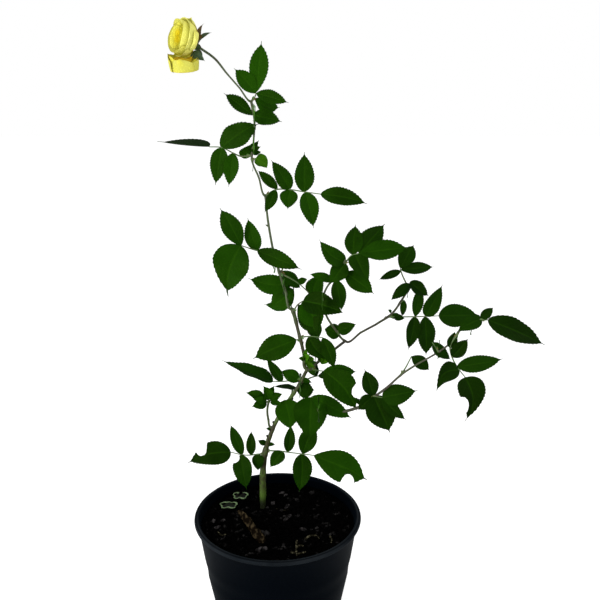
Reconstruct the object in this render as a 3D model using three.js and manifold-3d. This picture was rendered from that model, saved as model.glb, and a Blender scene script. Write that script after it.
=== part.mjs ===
// A young yellow rose bush in a black nursery pot.
// Millimetres, +Z up. The origin is the centre of the pot's flat underside; the front of the plant
// looks along -Y and its two side boughs reach towards +X.

import * as THREE from 'three';
import { mergeVertices } from 'three/addons/utils/BufferGeometryUtils.js';
import Module from 'manifold-3d';

const wasm = await Module();
wasm.setup();

// ---------------------------------------------------------------- driving dimensions

const GAP = 0.3; // clearance between neighbouring solids

const POT = {
  height: 197,
  baseRadius: 62,
  shoulderRadius: 84.5, // top of the tapered body
  shoulderZ: 137,
  bandRadius: 88.5, // foot of the plain band round the top
  bandTopRadius: 94,
  rimRadius: 99,
  rimDrop: 8, // height of the rolled rim
  wall: 2,
  floor: 2.5,
  sides: 30,
  drains: 6,
  drainRadius: 7,
  drainCircle: 44,
};

const SOIL = { bedZ: 181, bedRadius: 56, edgeZ: 186 }; // flat round the cane, rising to the wall

const LIMB_SIDES = 6;
const STALK_SIDES = 3;
const RING_STEP = 24; // spacing of the rings along a limb
const STALK_STEP = 13; // and along a leaf stalk
const STALK = { foot: 1.3, tip: 0.8 }; // radius of a leaf stalk
const BLADE_THICKNESS = 1.4;

// Half width of a rose leaflet, as a share of its full width, at stations from its foot to its tip.
const BLADE_STATIONS = [0.12, 0.42, 0.76];
const bladeHalfWidth = (along) => 0.5 * Math.sin(Math.PI * along ** 0.82) ** 0.75;

const BLOOM = { centre: [-95, 6, 731], across: 41, deep: 27, clock: -80, lean: 25 };
const GUARD_PETALS = { centre: [-93, 6, 706], across: 35, high: 15, deep: 30 };
const HIP = { across: 10, long: 13 };

const GREEN = '#2c5412';
const BARK = '#5d5a35';
const SHOOT_GREEN = '#5f7f2c';

// Canes and boughs. Each grows from a point, or from another limb at so many millimetres along
// it, in straight runs between its nodes: [clock, lean, length]. Clock is the heading seen from
// the front, in degrees from straight up towards +X. Lean is degrees towards the front.
const LIMBS = {
  cane_base: {
    from: [-20, 38, SOIL.bedZ + GAP],
    radii: [4.3, 2.6],
    colour: BARK,
    runs: [[1, 1, 54], [7, 3, 24], [16, 5, 22], [20, 7, 16], [25, 7, 17], [30, 5, 41], [32, 3, 17],
      [18, 0, 10]],
  },
  cane_middle: {
    on: 'cane_base',
    radii: [2.3, 2],
    colour: BARK,
    runs: [[-13, -5, 36], [-14, -6, 37]],
  },
  shoot_lower: {
    on: 'cane_middle',
    radii: [1.9, 1.5],
    colour: SHOOT_GREEN,
    runs: [[-25, -6, 9], [-20, -8, 21], [-17, -10, 24], [-15, -8, 28], [-5, -10, 11], [-9, -9, 26],
      [-4, -8, 15]],
  },
  shoot_upper: {
    on: 'shoot_lower',
    radii: [1.5, 1.3],
    colour: SHOOT_GREEN,
    runs: [[-20, -5, 24], [-23, 0, 13], [-11, 0, 10], [9, 3, 30], [-5, 9, 12], [-8, 12, 18]],
  },
  flower_stalk: {
    on: 'shoot_upper',
    radii: [1.2, 1.1],
    colour: BARK,
    runs: [[-41, 17, 43], [-39, 20, 13], [-40, 22, 8], [-53, 25, 8], [-67, 28, 7]],
  },
  bough_a_lower: {
    on: 'cane_base',
    at: 199,
    radii: [2.2, 1.9],
    colour: BARK,
    runs: [[54, -11, 57]],
  },
  bough_a_upper: {
    on: 'bough_a_lower',
    radii: [1.9, 1.3],
    colour: BARK,
    runs: [[65, -17, 56], [57, -20, 9], [37, -15, 32], [33, -14, 13]],
  },
  bough_b_lower: {
    on: 'cane_base',
    at: 152,
    radii: [2.3, 2],
    colour: BARK,
    runs: [[95, 18, 38], [90, 22, 22], [75, 22, 19], [60, 20, 14]],
  },
  bough_b_upper: {
    on: 'bough_b_lower',
    radii: [1.9, 1.2],
    colour: BARK,
    runs: [[43, 18, 50], [40, 15, 20], [50, 18, 40], [47, 16, 18], [32, 12, 23], [55, 14, 22]],
  },
  twig_inner: {
    on: 'bough_a_lower',
    at: 56,
    radii: [1.5, 1.1],
    colour: SHOOT_GREEN,
    runs: [[-35, 13, 33], [-24, 15, 10], [-9, 16, 28], [34, 21, 30], [32, 23, 10], [14, 22, 13]],
  },
  twig_low: {
    on: 'cane_base',
    at: 108,
    radii: [1.1, 0.9],
    colour: BARK,
    runs: [[-14, 10, 14], [-9, 22, 13], [8, 25, 24]],
  },
};

// Compound leaves. Each hangs on a limb at so many millimetres along it. `stalk` is its runs from
// there, as for a limb. `faces` is where its upper side looks: degrees turned from the front
// towards +X, then degrees raised. Each blade is [place along the stalk from 0 to 1, clock, lean,
// length, width], and may add a raised angle of its own.
const LEAVES = {
  leaf_top: {
    on: 'shoot_upper',
    at: 104,
    stalk: [[24, 4, 14]],
    faces: [0, 20],
    blades: [[1, 6, -8, 53, 23], [0.9, -40, 5, 33, 20], [0.9, 104, 8, 32, 17], [0.5, 120, -22, 34, 15]],
  },
  leaf_collar: {
    on: 'shoot_upper',
    at: 90,
    stalk: [[-20, 60, 4]],
    faces: [0, 25],
    blades: [[0.9, -53, 10, 40, 17], [0.9, 101, 8, 31, 18]],
  },
  leaf_upper_left: {
    on: 'shoot_upper',
    at: 47,
    stalk: [[-92, -8, 12], [-68, -8, 10], [-66, -10, 15], [-88, -10, 15]],
    faces: [-8, 18],
    blades: [[0.72, 42, 4, 43, 34], [0.98, -86, -12, 54, 21, 82], [0.7, 191, 10, 40, 19],
      [0.42, 188, 12, 37, 18], [0.25, 56, -14, 29, 12]],
  },
  leaf_curled: {
    on: 'shoot_upper',
    at: 44,
    stalk: [[80, 45, 7]],
    faces: [10, 45],
    blades: [[1, 105, 25, 16, 15]],
  },
  leaf_upper_right: {
    on: 'shoot_lower',
    at: 133,
    stalk: [[58, 10, 17], [92, 10, 15], [98, 10, 17], [97, 8, 17]],
    faces: [8, 18],
    blades: [[0.25, -38, -5, 30, 15], [0.47, -33, -5, 37, 19], [0.22, 203, 8, 24, 14],
      [0.48, 191, 8, 21, 18], [0.72, 0, -8, 45, 22], [0.74, 167, 10, 40, 22], [1, 97, 5, 52, 24]],
  },
  leaf_middle_left: {
    on: 'shoot_lower',
    at: 68,
    stalk: [[-76, 22, 22], [-68, 20, 19]],
    faces: [-10, 20],
    blades: [[0.98, -24, 5, 43, 22], [0.5, -13, 0, 36, 17], [1, 188, 18, 60, 42], [0.5, 110, 18, 53, 19]],
  },
  leaf_behind_shoot: {
    on: 'shoot_lower',
    at: 48,
    stalk: [[125, -18, 14], [160, -18, 20]],
    faces: [5, 20],
    blades: [[0.8, -84, -6, 47, 24], [1, -122, 0, 36, 20], [0.1, 122, -20, 28, 12]],
  },
  leaf_shoot_inner: {
    on: 'shoot_lower',
    at: 46,
    stalk: [[118, 15, 24], [138, 5, 10], [130, 0, 16]],
    faces: [0, 25],
    blades: [[0.5, 60, 0, 12, 7], [1, 5, -20, 30, 18]],
  },
  leaf_twig_tip: {
    on: 'twig_inner',
    at: 119,
    stalk: [[35, 5, 11], [70, 5, 10]],
    faces: [5, 25],
    blades: [[0.1, -58, 5, 38, 19], [0.66, 3, -15, 31, 20], [1, 45, -25, 43, 17], [1, 83, 0, 52, 24],
      [0.8, 157, 20, 29, 19], [0.1, 215, 14, 28, 18]],
  },
  leaf_twig_side: {
    on: 'twig_inner',
    at: 106,
    stalk: [[80, 10, 6]],
    faces: [5, 25],
    blades: [[1, 124, 14, 40, 22]],
  },
  leaf_twig_bend: {
    on: 'twig_inner',
    at: 88,
    stalk: [[50, 30, 9]],
    faces: [0, 30],
    blades: [[0.8, -72, 14, 28, 13], [1, 168, -12, 38, 18]],
  },
  leaf_centre: {
    on: 'cane_middle',
    at: 70,
    stalk: [[28, 34, 17], [50, 34, 7]],
    faces: [0, 25],
    blades: [[0.6, 146, 24, 45, 25], [1, 96, 26, 50, 24], [1, 166, 12, 38, 24]],
  },
  leaf_centre_low: {
    on: 'cane_middle',
    at: 38,
    stalk: [[72, 20, 10], [88, 20, 18]],
    faces: [0, 25],
    blades: [[0.4, 151, 20, 33, 19], [1, 155, 12, 34, 14]],
  },
  leaf_twig_foot: {
    on: 'twig_inner',
    at: 7,
    stalk: [[-25, 25, 12]],
    faces: [0, 30],
    blades: [[1, 70, 5, 22, 14], [0.4, -70, 8, 20, 14]],
  },
  leaf_a_node: {
    on: 'bough_a_upper',
    at: 60,
    stalk: [[92, -8, 36], [90, -8, 12], [90, -8, 14]],
    faces: [8, 20],
    blades: [[0.53, 9, -12, 32, 12], [0.74, 28, -10, 39, 18], [0.53, 189, 5, 41, 17], [0.73, 176, 5, 46, 23],
      [1, 91, -8, 44, 27], [0.1, 95, 20, 12, 7]],
  },
  leaf_a_arch: {
    on: 'bough_a_upper',
    at: 102,
    stalk: [[0, 18, 11]],
    faces: [0, 45],
    blades: [[0.7, -138, 20, 27, 13], [0.9, 128, 20, 23, 13]],
  },
  leaf_a_small: {
    on: 'bough_a_upper',
    at: 90,
    stalk: [[170, 25, 4]],
    faces: [0, 25],
    blades: [[0.8, 187, 10, 17, 9]],
  },
  leaf_a_tip: {
    on: 'bough_a_upper',
    at: 101,
    stalk: [[-27, -8, 15], [-17, -8, 12]],
    faces: [0, 25],
    blades: [[1, 24, -12, 32, 19], [0.95, 86, 0, 38, 17], [0.9, -112, 0, 27, 12]],
  },
  leaf_b_bud: {
    on: 'bough_b_upper',
    at: 66,
    stalk: [[26, -5, 22]],
    faces: [0, 30],
    blades: [[1, 130, 15, 26, 16]],
  },
  leaf_b_middle: {
    on: 'bough_b_upper',
    at: 108,
    stalk: [[-5, -5, 14]],
    faces: [0, 30],
    blades: [[1, 138, 10, 26, 15]],
  },
  leaf_b_hanging: {
    on: 'bough_b_upper',
    at: 130,
    stalk: [[168, 18, 15], [151, 18, 11], [141, 15, 13]],
    faces: [5, 25],
    blades: [[0.12, 19, 0, 20, 10], [0.36, 35, 10, 27, 15], [0.65, 80, 5, 49, 20], [0.76, -108, 15, 31, 18],
      [1, 170, 15, 43, 25]],
  },
  leaf_b_tip: {
    on: 'bough_b_upper',
    at: 169,
    stalk: [[60, 10, 6], [100, 8, 6]],
    faces: [5, 25],
    blades: [[0.5, -110, 5, 27, 15], [0.4, 50, -8, 14, 9], [1, 115, 0, 62, 27]],
  },
  leaf_b_cluster: {
    on: 'bough_b_upper',
    at: 18,
    stalk: [[20, 30, 6], [100, 20, 9]],
    faces: [0, 25],
    blades: [[0.3, -18, -5, 27, 16], [1, 76, 5, 37, 19], [1, 131, 15, 35, 18], [0.3, 155, 20, 41, 34],
      [0.3, 230, 15, 22, 15]],
  },
  leaf_front_upper: {
    on: 'bough_a_lower',
    at: 6,
    stalk: [[92, 38, 20]],
    faces: [0, 25],
    blades: [[1, 136, 15, 50, 24], [0.9, 95, -10, 36, 17]],
  },
  leaf_front_lower: {
    on: 'bough_b_lower',
    at: 14,
    stalk: [[42, 35, 27]],
    faces: [0, 25],
    blades: [[1, 117, 5, 49, 20], [0.95, 182, 16, 43, 35]],
  },
  leaf_low_front: {
    on: 'cane_base',
    at: 153,
    stalk: [[-40, 45, 9]],
    faces: [0, 25],
    blades: [[0.95, 166, 8, 34, 25]],
  },
  leaf_low_back: {
    on: 'cane_base',
    at: 162,
    stalk: [[48, -30, 11]],
    faces: [0, 25],
    blades: [[0.95, -88, -10, 30, 12, 75], [0.8, 82, 5, 20, 17]],
  },
  leaf_left: {
    on: 'cane_base',
    at: 188,
    stalk: [[-95, 10, 20], [-88, 10, 16]],
    faces: [-5, 25],
    blades: [[1, -73, -4, 58, 21, 72], [0.7, -30, 8, 31, 13], [0.12, -60, 8, 14, 9]],
  },
  leaf_left_upper: {
    on: 'cane_middle',
    at: 34,
    stalk: [[-60, 25, 7]],
    faces: [-5, 22],
    blades: [[0.9, -111, 5, 51, 28]],
  },
  leaf_low_left: {
    on: 'cane_base',
    at: 76,
    stalk: [[-92, 15, 18], [-78, 15, 14], [-66, 15, 11]],
    faces: [-5, 25],
    blades: [[0.65, -24, -5, 45, 17], [0.4, 2, -5, 30, 12], [1, -100, 5, 46, 32], [0.7, 179, 12, 46, 24],
      [0.2, 176, 12, 18, 14]],
  },
  leaf_low_right: {
    on: 'cane_base',
    at: 78,
    stalk: [[80, 18, 21], [90, 18, 16], [86, 18, 16], [92, 15, 9]],
    faces: [8, 25],
    blades: [[0.38, 220, 12, 24, 15], [0.76, 180, 12, 46, 23], [0.47, 10, -5, 31, 14],
      [0.78, 19, -5, 37, 24], [1, 110, 5, 70, 31]],
  },
  leaf_back_upper: {
    on: 'cane_middle',
    at: 56,
    stalk: [[-25, -58, 34], [-40, -50, 22]],
    faces: [160, 40],
    blades: [[0.6, -95, -10, 30, 20], [0.6, -30, -35, 30, 20], [1, -70, -50, 42, 26]],
  },
  leaf_back_middle: {
    on: 'bough_a_lower',
    at: 30,
    stalk: [[-40, -60, 28], [-10, -55, 25]],
    faces: [200, 40],
    blades: [[0.6, -25, -30, 28, 18], [0.4, 150, -30, 30, 20], [1, 20, -60, 42, 26]],
  },
  leaf_back_low: {
    on: 'cane_base',
    at: 182,
    stalk: [[100, -58, 36], [115, -50, 26]],
    faces: [170, 35],
    blades: [[0.65, 70, -20, 26, 18], [0.6, -20, -20, 24, 16], [1, 125, -45, 40, 25]],
  },
};

// ---------------------------------------------------------------- directions and solids

const rad = THREE.MathUtils.degToRad;

// The way from one point to the next: clock and lean as described above LIMBS.
function heading(clock, lean) {
  return new THREE.Vector3(
    Math.sin(rad(clock)) * Math.cos(rad(lean)),
    -Math.sin(rad(lean)),
    Math.cos(rad(clock)) * Math.cos(rad(lean)),
  );
}

// Where an upper side looks: turned from the front (-Y) towards +X, then raised.
function outlook(turn, raised) {
  return new THREE.Vector3(
    Math.sin(rad(turn)) * Math.cos(rad(raised)),
    -Math.cos(rad(turn)) * Math.cos(rad(raised)),
    Math.sin(rad(raised)),
  );
}

// A smooth curve through the ends of straight runs laid end to end from a start point.
function growth(start, runs) {
  const points = [start.clone()];
  for (const [clock, lean, length] of runs) {
    points.push(points.at(-1).clone().addScaledVector(heading(clock, lean), length));
  }
  return new THREE.CatmullRomCurve3(points, false, 'centripetal');
}

// A closed round limb along a curve, its radius running evenly from foot to tip.
function limbGeometry(curve, radii, sides, step) {
  const rings = Math.max(2, Math.ceil(curve.getLength() / step));
  const { normals, binormals } = curve.computeFrenetFrames(rings, false);
  const positions = [];
  for (let ring = 0; ring <= rings; ring += 1) {
    const centre = curve.getPointAt(ring / rings);
    const radius = THREE.MathUtils.lerp(radii[0], radii[1], ring / rings);
    for (let side = 0; side < sides; side += 1) {
      const angle = (2 * Math.PI * side) / sides;
      const point = centre.clone()
        .addScaledVector(normals[ring], radius * Math.cos(angle))
        .addScaledVector(binormals[ring], radius * Math.sin(angle));
      positions.push(...point.toArray());
    }
  }
  const triangles = [];
  for (let ring = 0; ring < rings; ring += 1) {
    for (let side = 0; side < sides; side += 1) {
      const a = ring * sides + side;
      const b = ring * sides + ((side + 1) % sides);
      triangles.push(a, b, b + sides, a, b + sides, a + sides);
    }
  }
  for (let side = 1; side < sides - 1; side += 1) {
    const last = rings * sides;
    triangles.push(0, side + 1, side, last, last + side, last + side + 1);
  }
  const geometry = new THREE.BufferGeometry();
  geometry.setAttribute('position', new THREE.Float32BufferAttribute(positions, 3));
  geometry.setIndex(triangles);
  return geometry;
}

// A flat leaflet: the outline extruded to the blade's thickness, laid from its foot along `axis`
// with its upper side towards `up`.
function bladeGeometry(foot, axis, up, length, width) {
  const outline = new THREE.Shape();
  outline.moveTo(0, 0);
  for (const along of BLADE_STATIONS) outline.lineTo(length * along, -width * bladeHalfWidth(along));
  outline.lineTo(length, 0);
  for (const along of BLADE_STATIONS.toReversed()) {
    outline.lineTo(length * along, width * bladeHalfWidth(along));
  }
  const blade = new THREE.ExtrudeGeometry(outline, { depth: BLADE_THICKNESS, bevelEnabled: false });
  blade.translate(0, 0, -BLADE_THICKNESS / 2);
  const normal = up.clone().addScaledVector(axis, -up.dot(axis)).normalize();
  const side = normal.clone().cross(axis);
  blade.applyMatrix4(new THREE.Matrix4().makeBasis(axis, side, normal).setPosition(foot));
  return blade;
}

function solid(geometry) {
  const bare = geometry.clone();
  bare.deleteAttribute('normal');
  bare.deleteAttribute('uv');
  const merged = mergeVertices(bare, 1e-4);
  return new wasm.Manifold(new wasm.Mesh({
    numProp: 3,
    vertProperties: new Float32Array(merged.getAttribute('position').array),
    triVerts: new Uint32Array(merged.getIndex().array),
  }));
}

function geometryOf(manifold) {
  const mesh = manifold.getMesh();
  const geometry = new THREE.BufferGeometry();
  geometry.setAttribute('position', new THREE.BufferAttribute(mesh.vertProperties, mesh.numProp));
  geometry.setIndex(new THREE.BufferAttribute(mesh.triVerts, 1));
  geometry.computeVertexNormals();
  return geometry;
}

// ---------------------------------------------------------------- the bush

const bush = new THREE.Group();

function addPiece(name, manifold, colour, roughness) {
  const material = new THREE.MeshStandardMaterial({ color: colour, roughness, metalness: 0 });
  const mesh = new THREE.Mesh(geometryOf(manifold), material);
  mesh.name = name;
  bush.add(mesh);
}

// Limbs, each cut clear of those made before it.
const curves = {};

function limbSolid(curve, radii, extra) {
  return solid(limbGeometry(curve, radii.map((radius) => radius + extra), LIMB_SIDES, RING_STEP));
}

function pointOn(limb, at) {
  const curve = curves[limb];
  return at === undefined ? curve.getPointAt(1) : curve.getPointAt(at / curve.getLength());
}

function clearOf(body, limbs) {
  return limbs.reduce((left, limb) => left.subtract(limbSolid(curves[limb], LIMBS[limb].radii, GAP)), body);
}

for (const [name, limb] of Object.entries(LIMBS)) {
  const start = limb.from ? new THREE.Vector3(...limb.from) : pointOn(limb.on, limb.at);
  const curve = growth(start, limb.runs);
  addPiece(name, clearOf(limbSolid(curve, limb.radii, 0), Object.keys(curves)), limb.colour, 0.7);
  curves[name] = curve;
}

// The limb that carries a limb, and those that it carries.
function nextTo(limb) {
  return Object.keys(LIMBS).filter((other) => LIMBS[other].on === limb || LIMBS[limb].on === other);
}

// Leaves, each one solid: its stalk joined to its blades, cut clear of the limbs at its foot.
for (const [name, leaf] of Object.entries(LEAVES)) {
  const curve = growth(pointOn(leaf.on, leaf.at), leaf.stalk);
  let body = solid(limbGeometry(curve, [STALK.foot, STALK.tip], STALK_SIDES, STALK_STEP));
  for (const [along, clock, lean, length, width, raised] of leaf.blades) {
    const up = outlook(leaf.faces[0], raised ?? leaf.faces[1]);
    const blade = bladeGeometry(curve.getPointAt(along), heading(clock, lean), up, length, width);
    body = body.add(solid(blade));
  }
  addPiece(name, clearOf(body, [leaf.on, ...nextTo(leaf.on)]), GREEN, 0.5);
}

// The bloom: a full cup with a bulging, uneven rim, its wide lower petals, and the hip behind it.
function swollen(across, high, deep, lobes, swell) {
  const ball = new THREE.SphereGeometry(0.5, 12, 8);
  const position = ball.getAttribute('position');
  const point = new THREE.Vector3();
  for (let i = 0; i < position.count; i += 1) {
    point.fromBufferAttribute(position, i);
    const around = Math.atan2(point.z, point.x);
    const rim = Math.hypot(point.x, point.z) / 0.5;
    point.multiplyScalar(1 + swell * rim * Math.sin(lobes * around));
    position.setXYZ(i, point.x * across, point.y * deep, point.z * high);
  }
  return ball;
}

const bloomAxis = heading(BLOOM.clock, BLOOM.lean);
const bloomTurn = new THREE.Quaternion().setFromUnitVectors(new THREE.Vector3(0, 1, 0), bloomAxis);
const bloomCentre = new THREE.Vector3(...BLOOM.centre);
const stalkEnd = pointOn('flower_stalk');

const hipAxis = bloomCentre.clone().sub(stalkEnd).normalize();
const hipTurn = new THREE.Quaternion().setFromUnitVectors(new THREE.Vector3(0, 1, 0), hipAxis);
const hipCentre = stalkEnd.clone().addScaledVector(hipAxis, HIP.long * 0.4);
const hip = new THREE.SphereGeometry(0.5, 8, 6)
  .scale(HIP.across, HIP.long, HIP.across)
  .applyQuaternion(hipTurn)
  .translate(...hipCentre.toArray());
const stalkClear = limbSolid(curves.flower_stalk, LIMBS.flower_stalk.radii, GAP);
addPiece('flower_hip', solid(hip).subtract(stalkClear), SHOOT_GREEN, 0.6);

const cup = swollen(BLOOM.across, BLOOM.across, BLOOM.deep, 5, 0.05)
  .applyQuaternion(bloomTurn)
  .translate(...BLOOM.centre);
const hipClear = new THREE.SphereGeometry(0.5, 8, 6)
  .scale(HIP.across + 2 * GAP, HIP.long + 2 * GAP, HIP.across + 2 * GAP)
  .applyQuaternion(hipTurn)
  .translate(...hipCentre.toArray());
addPiece('bloom', solid(cup).subtract(solid(hipClear)).subtract(stalkClear), '#e6dc4e', 0.6);

const guard = swollen(GUARD_PETALS.across, GUARD_PETALS.high, GUARD_PETALS.deep, 3, 0.06)
  .translate(...GUARD_PETALS.centre);
const cupClear = swollen(BLOOM.across + 2 * GAP, BLOOM.across + 2 * GAP, BLOOM.deep + 2 * GAP, 5, 0.05)
  .applyQuaternion(bloomTurn)
  .translate(...BLOOM.centre);
addPiece('bloom_lower_petals', solid(guard).subtract(solid(cupClear)), '#e9e27a', 0.6);

// The pot: one turned wall with a stepped band and a rolled rim, and drain holes in its floor.
function turned(profile) {
  const points = profile.map(([radius, z]) => new THREE.Vector2(radius, z));
  return new THREE.LatheGeometry(points, POT.sides).rotateX(Math.PI / 2);
}

const rimFoot = POT.height - POT.rimDrop;
const stepTop = POT.shoulderZ + 5;
const innerRim = POT.bandTopRadius - POT.wall;
const innerBase = POT.baseRadius - POT.wall;

const potWall = turned([
  [0, 0],
  [POT.baseRadius, 0],
  [POT.shoulderRadius, POT.shoulderZ],
  [POT.bandRadius, stepTop],
  [POT.bandTopRadius, rimFoot],
  [POT.rimRadius, rimFoot + 1],
  [POT.rimRadius, POT.height - 2],
  [POT.rimRadius - 2, POT.height],
  [innerRim, POT.height],
  [POT.bandRadius - POT.wall, stepTop + 1],
  [POT.shoulderRadius - POT.wall, POT.shoulderZ + 1],
  [innerBase, POT.floor],
  [0, POT.floor],
]);
let pot = solid(potWall);
for (let drain = 0; drain < POT.drains; drain += 1) {
  const angle = (2 * Math.PI * drain) / POT.drains;
  const hole = new THREE.CylinderGeometry(POT.drainRadius, POT.drainRadius, 12, 8)
    .rotateX(Math.PI / 2)
    .translate(POT.drainCircle * Math.cos(angle), POT.drainCircle * Math.sin(angle), 0);
  pot = pot.subtract(solid(hole));
}
addPiece('pot', pot, '#10161c', 0.4);

// The soil fills the pot from its floor nearly to its rim, a little clear of the wall.
const bandFoot = POT.bandRadius - POT.wall;
const edgeRadius = THREE.MathUtils.mapLinear(SOIL.edgeZ, stepTop + 1, POT.height, bandFoot, innerRim);
const clear = 2 * GAP;

const soil = turned([
  [0, POT.floor + GAP],
  [innerBase - clear, POT.floor + GAP],
  [POT.shoulderRadius - POT.wall - clear, POT.shoulderZ + 1],
  [bandFoot - clear, stepTop + 1],
  [edgeRadius - clear, SOIL.edgeZ],
  [SOIL.bedRadius, SOIL.bedZ],
  [0, SOIL.bedZ],
]);
addPiece('soil', solid(soil), '#15120f', 1);

export default bush;
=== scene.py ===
"""A young rose bush with one yellow bloom, growing in a black nursery pot.

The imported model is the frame. Its limb nodes are tubes and its leaf nodes are flat blades on a
stalk, and this script reads their places from those meshes: each limb becomes a barked stem along
the same centreline, and each flat blade becomes a curved, toothed and veined leaflet. Lengths in
the script are millimetres, turned into metres when a piece is made. +Z is up, the front looks
along -Y.
"""

import logging
import math
from dataclasses import dataclass, field, replace
from enum import Enum
from functools import cache

import bpy
import numpy as np
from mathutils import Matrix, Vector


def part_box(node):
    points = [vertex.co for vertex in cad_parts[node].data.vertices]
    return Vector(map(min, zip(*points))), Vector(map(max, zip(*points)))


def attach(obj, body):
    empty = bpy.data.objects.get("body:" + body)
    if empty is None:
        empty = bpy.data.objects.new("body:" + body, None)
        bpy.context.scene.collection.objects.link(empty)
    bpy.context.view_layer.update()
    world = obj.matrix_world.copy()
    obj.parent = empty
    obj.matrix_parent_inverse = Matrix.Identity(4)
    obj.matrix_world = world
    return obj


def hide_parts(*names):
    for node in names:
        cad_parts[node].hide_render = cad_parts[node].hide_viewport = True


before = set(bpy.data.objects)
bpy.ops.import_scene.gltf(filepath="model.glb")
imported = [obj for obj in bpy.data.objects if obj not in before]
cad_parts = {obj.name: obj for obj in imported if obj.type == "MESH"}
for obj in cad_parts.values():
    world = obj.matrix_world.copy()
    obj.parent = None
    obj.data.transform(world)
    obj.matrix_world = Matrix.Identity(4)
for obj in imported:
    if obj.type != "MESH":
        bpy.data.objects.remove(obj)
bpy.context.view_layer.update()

MM = 0.001
BODY = "root"
UP = np.array([0.0, 0.0, 1.0])
BACK = np.array([0.0, 1.0, 0.0])
FULL_TURN = 2 * math.pi
LOG = logging.getLogger("rose_bush")

Array = np.ndarray
Colour = tuple[float, float, float]
Socket = bpy.types.NodeSocket

# Lattice noise mixes a corner's three whole numbers into one with these, and keeps 24 bits of it.
HASH_STEPS = np.array([73856093, 19349663, 83492791])
HASH_SEED_STEP = 7919
HASH_FACTOR = 1274126177
HASH_MASK = 0xFFFFFF


# ---- small geometry


def unit(vectors: Array) -> Array:
    """Vectors divided by their lengths, along the last axis."""
    return vectors / np.maximum(np.linalg.norm(vectors, axis=-1, keepdims=True), 1e-9)


def heading(clock: float, lean: float) -> Array:
    """The way (sin c cos l, -sin l, cos c cos l), c degrees from up towards +X and l to the front."""
    c, l = math.radians(clock), math.radians(lean)
    return np.array([math.sin(c) * math.cos(l), -math.sin(l), math.cos(c) * math.cos(l)])


def square_to(axis: Array, vector: Array) -> Array:
    """The part of a vector that stands square to an axis, as a unit vector."""
    return unit(vector - axis * float(vector @ axis))


def sides_of(way: Array, hint: Array) -> tuple[Array, Array]:
    """Two unit vectors square to a way: one also square to the hint, and the one next to it."""
    aside = unit(np.cross(way, hint))
    return aside, np.cross(aside, way)


def swung(first: Array, second: Array, angle: float) -> Array:
    """The way that lies an angle from the first of two square ways towards the second."""
    return first * math.cos(angle) + second * math.sin(angle)


def circle(count: int) -> Array:
    """Angles evenly dealt round a circle, from 0."""
    return np.linspace(0.0, FULL_TURN, count, endpoint=False)


def stacked(*arrays: Array) -> Array:
    """Arrays spread to one shape and stacked along a new last axis."""
    return np.stack(np.broadcast_arrays(*arrays), axis=-1)


def travelled(points: Array) -> Array:
    """Distance of each point along the line of straight runs."""
    return np.concatenate([[0.0], np.cumsum(np.linalg.norm(np.diff(points, axis=0), axis=1))])


def lattice_noise(points: Array, seed: int = 0) -> Array:
    """Smooth noise from -1 to 1: hashed values at whole-number corners, blended by 3f^2 - 2f^3.

    Args:
        points: Places, in lattice steps, with three numbers each.
        seed: Which noise.

    Returns:
        One value for each point.
    """
    cell = np.floor(points).astype(np.int64)
    part = points - cell
    blend = part * part * (3 - 2 * part)
    total = np.zeros(points.shape[:-1])
    for corner in np.ndindex(2, 2, 2):
        key = ((cell + np.array(corner)) * HASH_STEPS).sum(-1)
        key = (key + seed * HASH_SEED_STEP) & HASH_MASK
        key = ((key ^ (key >> 11)) * HASH_FACTOR) & HASH_MASK
        value = (key ^ (key >> 13)) & 0xFFFF
        weight = np.where(np.array(corner) == 1, blend, 1 - blend).prod(-1)
        total += weight * (value / 0x7FFF - 1)
    return total


def rough_noise(points: Array, octaves: int = 3, seed: int = 0) -> Array:
    """Sum of lattice noises, each half as strong and twice as fine as the one before."""
    layers = [lattice_noise(points * 2**k, seed + k) / 2**k for k in range(octaves)]
    return np.sum(layers, axis=0)


def hermite(knots: Array, values: Array, places: Array) -> Array:
    """Values carried smoothly through knots.

    Each stretch is the cubic that meets its two end values with slopes taken from their
    neighbours, (next - previous) / (their distance).

    Args:
        knots: Rising places of the given values.
        values: One row for each knot.
        places: Where to read.

    Returns:
        One row for each place.
    """
    slopes = np.gradient(values, knots, axis=0)
    index = np.clip(np.searchsorted(knots, places, side="right") - 1, 0, len(knots) - 2)
    step = (knots[index + 1] - knots[index])[:, None]
    t = (places - knots[index])[:, None] / step
    a, b = values[index], values[index + 1]
    ma, mb = slopes[index] * step, slopes[index + 1] * step
    t2, t3 = t * t, t * t * t
    return (2 * t3 - 3 * t2 + 1) * a + (t3 - 2 * t2 + t) * ma + (3 * t2 - 2 * t3) * b + (t3 - t2) * mb


@dataclass
class Path:
    """A smooth line through points, with a radius at each of them.

    Attributes:
        points: The points, one row each.
        radii: The radius at each point.
    """

    points: Array
    radii: Array

    @property
    def knots(self) -> Array:
        """Distance of each point along the line of straight runs."""
        return travelled(self.points)

    @property
    def length(self) -> float:
        """Length of the line of straight runs."""
        return float(self.knots[-1])

    def sample(self, step: float) -> tuple[Array, Array, Array]:
        """Evenly spaced places along the path.

        Args:
            step: Their spacing.

        Returns:
            Distances along the path, points and radii.
        """
        knots = self.knots
        places = np.linspace(0.0, knots[-1], max(3, int(knots[-1] / step) + 1))
        return places, hermite(knots, self.points, places), np.interp(places, knots, self.radii)

    def at(self, place: float) -> tuple[Array, Array]:
        """The path at one place.

        Args:
            place: The distance along it.

        Returns:
            The point and the direction of growth.
        """
        near = np.clip(np.array([place - 0.5, place, place + 0.5]), 0.0, self.length)
        before, here, after = hermite(self.knots, self.points, near)
        return here, unit(after - before)

    def nearest(self, point: Array) -> tuple[float, float]:
        """Where the path passes closest to a point.

        Args:
            point: The point.

        Returns:
            The distance along the path, and the gap from the path's line to the point.
        """
        places, line, _ = self.sample(1.0)
        gaps = np.linalg.norm(line - point, axis=1)
        best = int(np.argmin(gaps))
        return float(places[best]), float(gaps[best])


# ---- surfaces


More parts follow.
